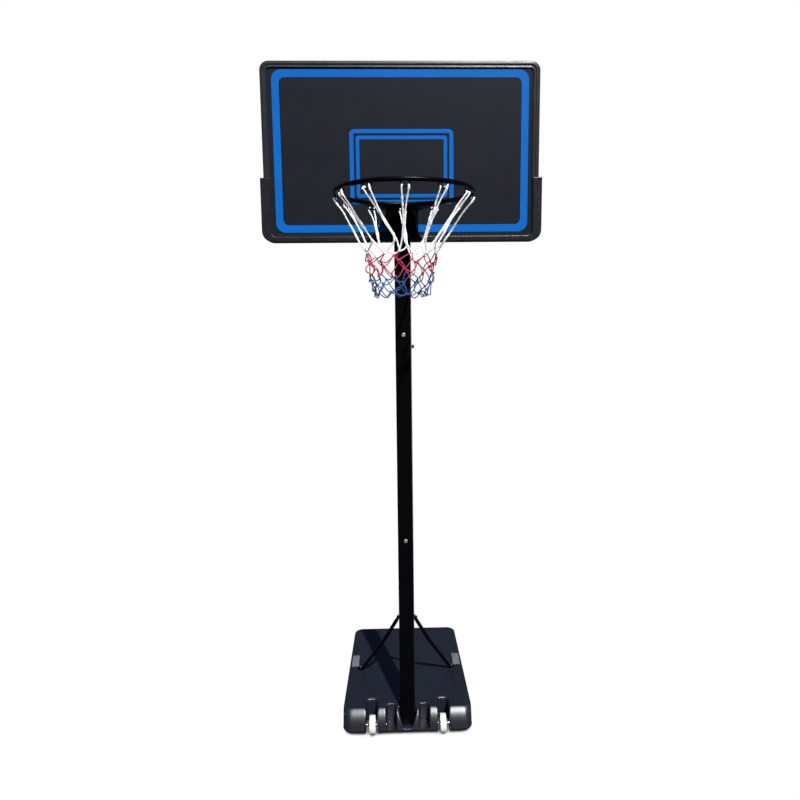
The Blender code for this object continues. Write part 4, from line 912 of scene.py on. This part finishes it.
def makeFrame():
    bm = bmesh.new()
    front, r, inner = board["front"] + board["rimDrop"], board["rimRound"], board["panelMargin"]
    stops = [(0, board["back"], 0.0), (0, front + r, 0.0)]
    for turn in (22, 45, 68, 84):
        a = math.radians(turn)
        stops.append((0, front + r * (1 - math.sin(a)), r * (1 - math.cos(a))))
    stops += [(share, board["front"] + depth, 0.0) for share, depth in frameProfile]
    stops += [(1, board["panelFront"] - gap, 0.0), (1, board["panelFront"] - gap, -inner)]
    stops.append((1, board["back"], -inner))
    loops = [frameLoop(bm, *stop) for stop in stops]
    stack(bm, loops + loops[:1])
    relief = tallSlab(2 * plateSize["half"] + 2 * gap, plateSize["foot"] - gap, board["reliefTop"],
                      plateSize["corner"], 5, -0.1, board["panelFront"] + gap)
    finishPiece("board_edge_frame", carve(bm, [toolObject(relief, "relief")]), "board_frame", smooth=30)


def makePanel():
    m = board["panelMargin"] - gap
    low, high = board["foot"] + board["lipFoot"] - m, board["top"] - board["lipTop"] + m
    width = board["width"] - 2 * board["lipSide"] + 2 * m
    sheet = tallSlab(width, low, high, board["lipCorner"] + m, 8, board["panelFront"], board["panelBack"])
    finishPiece("board_sheet", sheet, "board_panel")


def makeStripe(name, size):
    bm = bmesh.new()
    loops = []
    middle = (0, (size["top"] + size["foot"]) / 2)
    for margin, radius in ((0, size["corner"]), (size["line"], size["innerCorner"])):
        corners = rectangle(size["width"] - 2 * margin, size["top"] - size["foot"] - 2 * margin, middle)
        loops += sheetLoop(bm, corners, [radius] * 4, 10, upright(board["stripeBack"]))
    bmesh.ops.bridge_loops(bm, edges=loops)
    pull(bm, bm.faces[:], (0, board["stripeFront"] - board["stripeBack"], 0))
    finishPiece(name, bm, size["node"])


makeFrame()
makePanel()
for name, size in stripes.items():
    makeStripe(name, size)
print("board: frame, panel and three lines")


# Edge guard
guard = {"reach": 0.563, "foot": 2.178, "top": 2.428, "front": -0.0831, "back": -0.0346, "face": 0.038,
         "footFace": 0.022, "corner": 0.044, "innerCorner": 0.020, "round": 0.0050,
         "frontEdge": 0.0045, "backEdge": 0.0015}


def levelRims(bm, wanted):
    # sharp edges that lie in one depth, before (-1) or behind (1) the guard's middle
    middle = (guard["front"] + guard["back"]) / 2
    rims = [e for e in sharpEdges(bm) if abs(e.verts[0].co.y - e.verts[1].co.y) < nearly]
    return [e for e in rims if (e.verts[0].co.y - middle) * wanted > 0]


def makeGuard():
    x, foot, top, r = guard["reach"], guard["foot"], guard["top"], guard["round"]
    inX, inZ = x - guard["face"], foot + guard["footFace"]
    corners = [(-x, top), (-x, foot), (x, foot), (x, top), (inX, top), (inX, inZ), (-inX, inZ), (-inX, top)]
    radii = [r, guard["corner"], guard["corner"], r, r, guard["innerCorner"], guard["innerCorner"], r]
    bm = slab(corners, radii, 8, upright(guard["front"]), (0, guard["back"] - guard["front"], 0))
    soften(bm, levelRims(bm, -1), guard["frontEdge"], 5)
    soften(bm, levelRims(bm, 1), guard["backEdge"], 3)
    slot = tallSlab(board["width"] + 2 * gap, board["foot"] - gap, board["top"] + gap, board["corner"], 10,
                    board["front"] - gap, board["back"] + gap)
    bm = carve(bm, [toolObject(slot, "slot")])
    finishPiece("edge_guard_pad", bm, "edge_guard", weighted=True)


makeGuard()
print("edge guard: one channel")


# Hoop
hoop = {"y": -0.4611, "z": 2.300, "radius": 0.233, "rod": 0.008, "hooks": 12, "wire": 0.00225,
        "hookWidth": 0.032, "drop": 0.013, "hookBend": 0.0035, "bead": 0.0036, "beadShape": (1.0, 1.3, 0.7),
        "halfAngle": 52, "rootWidth": 0.126, "tip": 0.005, "wing": 0.004, "wingEdge": 0.0006,
        "gusset": 0.0035, "gussetBoard": 0.060, "gussetRing": 0.032, "gussetTip": 0.020, "gussetSweep": 1.7,
        "gussetEdge": 0.0005}


def hookTurns():
    return [math.radians(-90 + 360 * k / hoop["hooks"]) for k in range(hoop["hooks"])]


def spokes(turn):
    # outwards from the ring's middle, and along the ring
    return Vector((math.cos(turn), math.sin(turn), 0)), Vector((-math.sin(turn), math.cos(turn), 0))


def makeRing():
    bm = bmesh.new()
    middle = (0, hoop["y"], hoop["z"])
    bmesh.ops.create_circle(bm, cap_ends=False, segments=20, radius=hoop["rod"])
    bmesh.ops.rotate(bm, cent=(0, 0, 0), matrix=Matrix.Rotation(math.pi / 2, 3, "X"), verts=bm.verts)
    bmesh.ops.translate(bm, vec=(hoop["radius"], hoop["y"], hoop["z"]), verts=bm.verts)
    bmesh.ops.spin(bm, geom=bm.verts[:] + bm.edges[:], cent=middle, axis=(0, 0, 1), dvec=(0, 0, 0),
                   angle=2 * math.pi, steps=120, use_merge=True)
    wide = hoop["hookWidth"] / 2 - hoop["wire"]
    foot = -hoop["rod"] - hoop["drop"] - hoop["wire"]
    bend = hoop["hookBend"]
    knee = [(-wide, foot + bend + 0.003), (-wide, foot + bend)]
    knee += [(-wide + bend * (1 - math.cos(a)), foot + bend * (1 - math.sin(a))) for a in (0.5, 1.05)]
    half = [(-wide, -0.004)] + knee + [(-wide + bend, foot)]
    shape = half + [(-t, z) for t, z in reversed(half)]
    paths = []
    for turn in hookTurns():
        out, along = spokes(turn)
        centre = Vector(middle) + out * hoop["radius"]
        paths.append([centre + along * t + Vector((0, 0, z)) for t, z in shape])
        for end in (-wide, wide):
            spot = centre + along * end - Vector((0, 0, hoop["rod"] * 0.93))
            addBall(bm, hoop["bead"], hoop["beadShape"], Matrix.Rotation(turn, 3, "Z"), spot)
    bm.from_mesh(cordMesh(paths, hoop["wire"]))
    finishPiece("hoop_rod_ring", bm, "hoop_ring", smooth=45)


def quadratic(a, b, c, steps):
    return [a.lerp(b, k / steps).lerp(b.lerp(c, k / steps), k / steps) for k in range(steps + 1)]


def makeWing():
    edge = hoop["radius"] + hoop["rod"] + gap
    rootY = plateSize["front"] - gap
    turn = math.radians(90 + hoop["halfAngle"])
    outward, along = Vector((math.cos(turn), math.sin(turn))), Vector((math.sin(turn), -math.cos(turn)))
    tip = Vector((0, hoop["y"])) + outward * (edge + hoop["tip"])
    root = Vector((-hoop["rootWidth"] / 2, rootY))
    waist = tip + along * ((root.x * 1.1 - tip.x) / along.x)
    left = [tuple(p) for p in quadratic(tip, waist, root, 20)]
    arcTurns = [math.radians(90 - hoop["halfAngle"] + 2 * hoop["halfAngle"] * k / 48) for k in range(49)]
    front = [(edge * math.cos(a), hoop["y"] + edge * math.sin(a)) for a in arcTurns]
    outline = front + left + [(-x, y) for x, y in reversed(left)]
    bm = bmesh.new()
    face = bm.faces.new([bm.verts.new((x, y, hoop["z"] - hoop["wing"])) for x, y in outline])
    pull(bm, [face], (0, 0, hoop["wing"]))
    rims = [e for e in sharpEdges(bm) if e.calc_length() < 0.02 or e.verts[0].co.y > -0.08]
    soften(bm, rims, hoop["wingEdge"], 2)
    finishPiece("hoop_flared_plate", bm, "hoop_wing")


def makeGusset(side, label):
    rootY = plateSize["front"] - gap
    top = hoop["z"] - hoop["wing"] - gap
    foot = plateSize["foot"] + plateSize["corner"]
    reach = hoop["radius"] + math.sqrt(hoop["rod"] ** 2 - (hoop["z"] - top) ** 2) + gap
    half = hoop["gusset"] / 2
    rows = []
    for k in range(17):
        share = k / 16
        low = top - hoop["gussetTip"] - (top - hoop["gussetTip"] - foot) * (1 - share) ** hoop["gussetSweep"]
        x = side * (hoop["gussetBoard"] + (hoop["gussetRing"] - hoop["gussetBoard"]) * share)
        endY = hoop["y"] + math.sqrt(reach**2 - (abs(x) + half) ** 2)
        rows.append((x, rootY + (endY - rootY) * share, low))
    bm = bmesh.new()
    upper = [(x - half, y, top) for x, y, low in rows]
    lower = [(x - half, y, low) for x, y, low in reversed(rows)]
    face = bm.faces.new([bm.verts.new(p) for p in upper + lower])
    pull(bm, [face], (2 * half, 0, 0))
    bmesh.ops.recalc_face_normals(bm, faces=bm.faces)
    soften(bm, sharpEdges(bm, 50), hoop["gussetEdge"], 2)
    finishPiece("hoop_" + label + "_web", bm, "hoop_" + label + "_gusset")


def makePlate():
    bm = tallSlab(2 * plateSize["half"], plateSize["foot"], plateSize["top"], plateSize["corner"], 6,
                  plateSize["front"], plateSize["back"])
    soften(bm, sharpEdges(bm), plateSize["edge"], 2)
    finishPiece("hoop_back_plate", bm, "hoop_plate")


makeRing()
makeWing()
for side, label in bothSides:
    makeGusset(side, label)
makePlate()
print("hoop: ring, flared plate, gussets, back plate")


# Carried-over pieces with their edges broken
refined = {"left_box_rail": ("left_rail", 0.0004), "right_box_rail": ("right_rail", 0.0004),
           "upper_pole_bracket": ("upper_bracket", 0.0005), "lower_pole_bracket": ("lower_bracket", 0.0005),
           "filler_seal_ring": ("filler_seal", 0.0003)}
for name, (node, width) in refined.items():
    bm = bmesh.new()
    bm.from_mesh(frame["nodes"][node].data)
    bmesh.ops.remove_doubles(bm, verts=bm.verts, dist=0.00001)
    bmesh.ops.dissolve_limit(bm, angle_limit=0.01, verts=bm.verts, edges=bm.edges)
    soften(bm, sharpEdges(bm), width, 2)
    finishPiece(name, bm, node, smooth=32, weighted=True)


# Deck pads
pad = {"x": 0.258, "y": 0.365, "width": 0.035, "length": 0.102, "thickness": 0.001, "corner": 0.004,
       "edge": 0.0003}
for side, label in bothSides:
    foot = tank["height"] + gap
    corners = rectangle(pad["width"], pad["length"], (side * pad["x"], pad["y"]))
    bm = slab(corners, [pad["corner"]] * 4, 6, flat(foot), (0, 0, pad["thickness"]))
    soften(bm, upperRim(bm, foot + pad["thickness"] / 2), pad["edge"], 2)
    finishPiece(label + "_grip_plate", bm, label + "_deck_pad")


# Filler cap
cap = {"foot": 0.107, "top": 0.1201, "radius": 0.027, "dish": 0.0008, "skirt": 0.021, "ceiling": 0.1166,
       "grips": 24, "grip": 0.0008, "bar": (0.030, 0.006, 0.0022), "barEdge": 0.0009}


def makeCap():
    bm = bmesh.new()
    r, top, foot, dish = cap["radius"] - cap["grip"], cap["top"], cap["foot"], cap["dish"]
    section = [(0, top - dish), (r * 0.70, top - dish), (r * 0.74, top), (r * 0.90, top)]
    section += [(r * 0.97, top - 0.0006), (r, top - 0.002), (r, foot + 0.0006), (r - 0.0006, foot)]
    section += [(cap["skirt"], foot), (cap["skirt"], cap["ceiling"]), (0, cap["ceiling"])]
    spun(bm, section, (0, 0, 1), (0, tank["fillerY"], 0), 96)
    for k in range(cap["grips"]):
        rib = bmesh.new()
        bmesh.ops.create_cone(rib, cap_ends=True, segments=10, radius1=0.0011, radius2=0.0009,
                              depth=top - foot - 0.003)
        turn = 2 * math.pi * k / cap["grips"]
        spot = (r * math.cos(turn), tank["fillerY"] + r * math.sin(turn), (top + foot) / 2 - 0.0006)
        bmesh.ops.translate(rib, vec=spot, verts=rib.verts)
        joinMesh(bm, rib)
    bar = bmesh.new()
    bmesh.ops.create_cube(bar, size=1)
    bmesh.ops.scale(bar, vec=cap["bar"], verts=bar.verts)
    bmesh.ops.translate(bar, vec=(0, tank["fillerY"], top - cap["bar"][2] / 2), verts=bar.verts)
    soften(bar, bar.edges[:], cap["barEdge"], 3)
    joinMesh(bm, bar)
    finishPiece("filler_screw_cap", bm, "filler_cap", smooth=40)


makeCap()
print("small pieces: rails, brackets, pads, filler")


# Net
net = {"cord": 0.0027, "lowCord": 0.0019, "footZ": 2.2745, "hookHalf": 0.0115, "meetShare": 0.38,
       "partShare": 0.82, "drift": (0, 0, -14, -15, 0, 0, -10, 5, 0, 0, 21, 28), "driftEase": 1.5,
       "legEase": 0.92, "knotZ": 2.100, "knotRadius": 0.126, "knot": 0.0042, "together": 0.0026,
       "rows": [(2.066, 0.118), (2.030, 0.111), (1.996, 0.103), (1.966, 0.098)], "endZ": 1.948, "lean": 0.018,
       "swellings": 7, "swelling": (0.0030, 0.0040)}
# how far a point strays, in metres but for the rows' turn in radians
loose = {"leg": 0.0015, "meet": 0.0012, "turn": 0.11, "row": 0.010, "strand": 0.002, "end": 0.004}
dyes = {"white": (0.80, 0.80, 0.81), "red": (0.42, 0.028, 0.075), "blue": (0.028, 0.085, 0.24)}


def netPoint(turn, radius, z, side=0.0):
    out, along = spokes(turn)
    hang = max(0.0, net["footZ"] - z) / (net["footZ"] - net["endZ"])
    return Vector((-net["lean"] * hang, hoop["y"], z)) + out * radius + along * side


def wander(size):
    return Vector((draw.uniform(-1, 1), draw.uniform(-1, 1), draw.uniform(-1, 1))) * size


def dyeFrom(bm, before, dye):
    # colours the points that were added after the first ones
    layer = bm.verts.layers.float_color["dye"]
    bm.verts.ensure_lookup_table()
    for index in range(before, len(bm.verts)):
        bm.verts[index][layer] = (*dyes[dye], 1)


def addCords(bm, paths, radius, dye):
    before = len(bm.verts)
    bm.from_mesh(cordMesh(paths, radius))
    dyeFrom(bm, before, dye)


def addSwellings(bm, path):
    # short thick places where the braid has opened
    for count in range(net["swellings"]):
        at = draw.randrange(4, len(path) - 3)
        direction = (path[at + 1] - path[at - 1]).normalized()
        radius = draw.uniform(*net["swelling"])
        stretch = (1, 1, draw.uniform(2.0, 4.0))
        turn = direction.to_track_quat("Z", "Y").to_matrix()
        addBall(bm, radius, stretch, turn, path[at] + wander(0.0007))


def netLeg(turn, drift, side, knot):
    # from a hook, close beside its twin for most of the way, to the first knot
    ring, foot, half = hoop["radius"], net["footZ"], side * net["hookHalf"]
    over = netPoint(turn, ring - 0.003, foot + 0.0075, half * 0.8)
    outer = netPoint(turn, ring + 0.0045, foot + 0.002, half)

    def along(share, apart, slack):
        radius = ring + (net["knotRadius"] - ring) * share ** net["legEase"]
        z = foot - (foot - net["knotZ"]) * share
        return netPoint(turn + drift * share ** net["driftEase"], radius, z, side * apart) + wander(slack)

    meet = along(net["meetShare"], net["together"] * 1.1, loose["meet"])
    mid = along(0.55, net["together"], loose["leg"])
    part = along(net["partShare"], net["together"] * 1.2, loose["leg"])
    quarter = along(0.20, net["hookHalf"] * 0.55, loose["leg"])
    return smoothPath([over, outer, quarter, meet, mid, part, knot], 6)


def netRows(turns):
    # rows of knots under the first, every second one half a step round
    rows, step, stray = [], 2 * math.pi / hoop["hooks"], loose["row"]
    for number, (z, radius) in enumerate(net["rows"]):
        shift = step / 2 * (number % 2)
        rows.append([netPoint(t + shift + draw.uniform(-loose["turn"], loose["turn"]),
                              radius + draw.uniform(-stray, stray), z + draw.uniform(-stray, stray))
                     for t in turns])
    return rows


def strand(a, b):
    # a slack strand between two knots
    span = (b - a).length
    sideways = (b - a).cross(Vector((0, 0, 1))).normalized()
    bulge = sideways * draw.uniform(-0.25, 0.35) * span + Vector((0, 0, draw.uniform(-0.3, 0.1) * span))
    one = a.lerp(b, 0.33) + bulge * 0.8 + wander(loose["strand"])
    two = a.lerp(b, 0.68) + bulge * 0.9 + wander(loose["strand"])
    return smoothPath([a, one, two, b], 6)


def endLoop(a, b):
    # the loop that closes the net's foot between two knots
    low = a.lerp(b, 0.5)
    low.z = net["endZ"] + draw.uniform(-0.004, 0.006)
    one = a.lerp(low, 0.6) + wander(loose["end"])
    two = b.lerp(low, 0.6) + wander(loose["end"])
    return smoothPath([a, one, low, two, b], 5)


def makeNet():
    bm = bmesh.new()
    bm.verts.layers.float_color.new("dye")
    hooks, turns = hoop["hooks"], hookTurns()
    drift = [math.radians(a) for a in net["drift"]]
    between = [(a + b) / 2 for a, b in zip(drift, drift[1:] + drift[:1])]
    half = math.pi / hooks
    first = [netPoint(t + half + shift * 0.8, net["knotRadius"] + draw.uniform(-0.005, 0.005),
                      net["knotZ"] + draw.uniform(-0.012, 0.010)) for t, shift in zip(turns, between)]
    white, red, blue = [], [], []
    for index, turn in enumerate(turns):
        white.append(netLeg(turn, drift[index], -1, first[index - 1]))
        white.append(netLeg(turn, drift[index], 1, first[index]))
    rows = [first] + netRows(turns)
    for number, (upper, lower) in enumerate(zip(rows, rows[1:])):
        paths = red if number < 2 else blue
        for index in range(hooks):
            for other in ((index, index + 1) if number % 2 == 0 else (index, index - 1)):
                paths.append(strand(upper[index], lower[other % hooks]))
    last = rows[-1]
    blue += [endLoop(last[index], last[(index + 1) % hooks]) for index in range(hooks)]
    addCords(bm, white, net["cord"], "white")
    for path in white:
        addSwellings(bm, path)
    dyeFrom(bm, 0, "white")
    addCords(bm, red, net["lowCord"], "red")
    addCords(bm, blue, net["lowCord"], "blue")
    for row, dye in zip(rows, ("white", "red", "red", "blue", "blue")):
        before = len(bm.verts)
        for spot in row:
            stretch = (1, 1, draw.uniform(1.1, 1.5))
            turn = Matrix.Rotation(draw.uniform(0, 3), 3, (1, draw.uniform(-1, 1), draw.uniform(-1, 1)))
            addBall(bm, net["knot"], stretch, turn, spot)
        dyeFrom(bm, before, dye)
    showPiece("net_cords", meshOf(bm, "net_cords"), "net_cord", "upper_section", ["net"], smooth=60)


makeNet()
print("net: legs, diamonds and knots")


# Floor, light and camera
# the stage also sets the floor's painted contact shadow: its darkest tone, the occlusion range it spans and
# how far it reaches
stage = {"floor": 60, "floorDrop": 0.0006, "floorTone": 0.06, "white": 1.0, "shadowTone": 0.012,
         "shadowRange": (0.14, 0.44), "shadowReach": 0.09, "ground": (0.08, 0.08, 0.08),
         "sky": [(0.0, (0.016, 0.018, 0.026)), (0.35, (0.017, 0.028, 0.060)), (1.0, (0.06, 0.09, 0.17))]}
sun = {"energy": 4.8, "turn": (0.30, -1.0, 1.10), "aim": (0, 0, 1.2), "reach": 6, "angle": 1.2}
strip = {"spot": (3.0, 0.3, 1.2), "aim": (0, 0, 1.2), "energy": 500, "shape": "RECTANGLE", "size": 1.5,
         "size_y": 3.0}
fill = {"spot": (0.6, -3.5, 2.2), "aim": (0, -0.46, 2.15), "energy": 85, "shape": "SQUARE", "size": 1.5}
viewpoint = {"spot": (-0.0416, -2.6583, 1.905), "pitch": 7.6091, "yaw": 1.5945, "roll": -0.5453,
             "lens": 28.0789, "sensor": 36, "shift": (-0.0144, -0.0088), "reach": 200}


def seenOrLit(tree, lit, seen, output):
    # one look for what the camera sees directly, another for the light that it gives
    direct = addNode(tree, "LightPath", {}).outputs["Is Camera Ray"]
    both = addNode(tree, "MixShader", {0: direct, 1: lit.outputs[0], 2: seen.outputs[0]})
    tree.links.new(both.outputs[0], tree.nodes[output].inputs["Surface"])


def makeFloor():
    bm = bmesh.new()
    bmesh.ops.create_grid(bm, x_segments=1, y_segments=1, size=stage["floor"] / 2)
    bmesh.ops.translate(bm, vec=(0, 0, -stage["floorDrop"]), verts=bm.verts)
    mesh = meshOf(bm, "floor")
    floor = bpy.data.objects.new("floor", mesh)
    bpy.context.scene.collection.objects.link(floor)
    tone = stage["floorTone"]
    look, tree, shader = startFinish("paleFloor", (tone, tone, tone), 0.9, specular=0.1)
    # seen directly it is glowing white paper with a painted shadow that darkens it where the part stands
    # close over it
    near = addNode(tree, "AmbientOcclusion", {"Distance": stage["shadowReach"]}, samples=8)
    strength = spread(tree, near.outputs["AO"], stage["shadowTone"], stage["white"], *stage["shadowRange"])
    seenOrLit(tree, shader, addNode(tree, "Emission", {"Strength": strength}), "Material Output")
    mesh.materials.append(look)


def makeWorld():
    # white behind the part, and a dim sky that grows brighter overhead for everything it lights
    world = bpy.data.worlds.new("paleRoom")
    bpy.context.scene.world = world
    world.use_nodes = True
    tree = world.node_tree
    dim = tree.nodes["Background"]
    place = addNode(tree, "TexCoord", {}).outputs["Generated"]
    height = addNode(tree, "SeparateXYZ", {0: place}).outputs["Z"]
    ramp = addNode(tree, "ValToRGB", {"Fac": spread(tree, height, 0, 1, -1, 1)})
    stops = [(0.0, stage["ground"]), (0.49, stage["ground"])]
    stops += [(0.5 + at / 2, colour) for at, colour in stage["sky"]]
    while len(ramp.color_ramp.elements) < len(stops):
        ramp.color_ramp.elements.new(0.5)
    for element, (at, colour) in zip(ramp.color_ramp.elements, stops):
        element.position = at
        element.color = (*colour, 1)
    tree.links.new(ramp.outputs["Color"], dim.inputs["Color"])
    white = addNode(tree, "Background", {"Strength": stage["white"], "Color": (1, 1, 1, 1)})
    seenOrLit(tree, dim, white, "World Output")


def addLamp(name, kind, spot, aim, **settings):
    lamp = bpy.data.lights.new(name, kind)
    for key, value in settings.items():
        setattr(lamp, key, value)
    thing = bpy.data.objects.new(name, lamp)
    bpy.context.scene.collection.objects.link(thing)
    thing.location = spot
    thing.rotation_euler = (Vector(aim) - Vector(spot)).to_track_quat("-Z", "Y").to_euler()
    return thing


def shineOn(lamp, name, things):
    # the lamp lights these pieces alone
    lit = bpy.data.collections.new(name)
    for thing in things:
        lit.objects.link(thing)
    lamp.light_linking.receiver_collection = lit


def makeLamps():
    aim = Vector(sun["aim"])
    spot = aim + Vector(sun["turn"]).normalized() * sun["reach"]
    addLamp("keyLight", "SUN", spot, aim, energy=sun["energy"], angle=math.radians(sun["angle"]))
    # a tall panel at the right that shows mainly along the pole's rounded edge
    tubes = [thing for thing in bpy.data.objects if thing.name.startswith("pole_")]
    shineOn(addLamp("sideStrip", "AREA", **strip), "besideStrip", tubes)
    # a soft fill from the front for the net, whose legs lean away from the key light
    shineOn(addLamp("netFill", "AREA", **fill), "insideFill", [bpy.data.objects["net_cords"]])


def makeCamera():
    lens = bpy.data.cameras.new("viewpoint")
    lens.sensor_width = viewpoint["sensor"]
    lens.lens = viewpoint["lens"]
    lens.shift_x, lens.shift_y = viewpoint["shift"]
    lens.clip_end = viewpoint["reach"]
    thing = bpy.data.objects.new("viewpoint", lens)
    bpy.context.scene.collection.objects.link(thing)
    pitch, yaw, roll = [math.radians(viewpoint[name]) for name in ("pitch", "yaw", "roll")]
    ahead = Vector((math.sin(yaw) * math.cos(pitch), math.cos(yaw) * math.cos(pitch), -math.sin(pitch)))
    right = Vector((math.cos(yaw), -math.sin(yaw), 0))
    up = right.cross(ahead)
    turnedRight = right * math.cos(roll) + up * math.sin(roll)
    turnedUp = up * math.cos(roll) - right * math.sin(roll)
    turn = Matrix((turnedRight, turnedUp, -ahead)).transposed()
    thing.matrix_world = Matrix.Translation(viewpoint["spot"]) @ turn.to_4x4()
    bpy.context.scene.camera = thing


makeFloor()
makeWorld()
makeLamps()
makeCamera()
bpy.context.scene.view_settings.view_transform = "Standard"
bpy.context.view_layer.update()
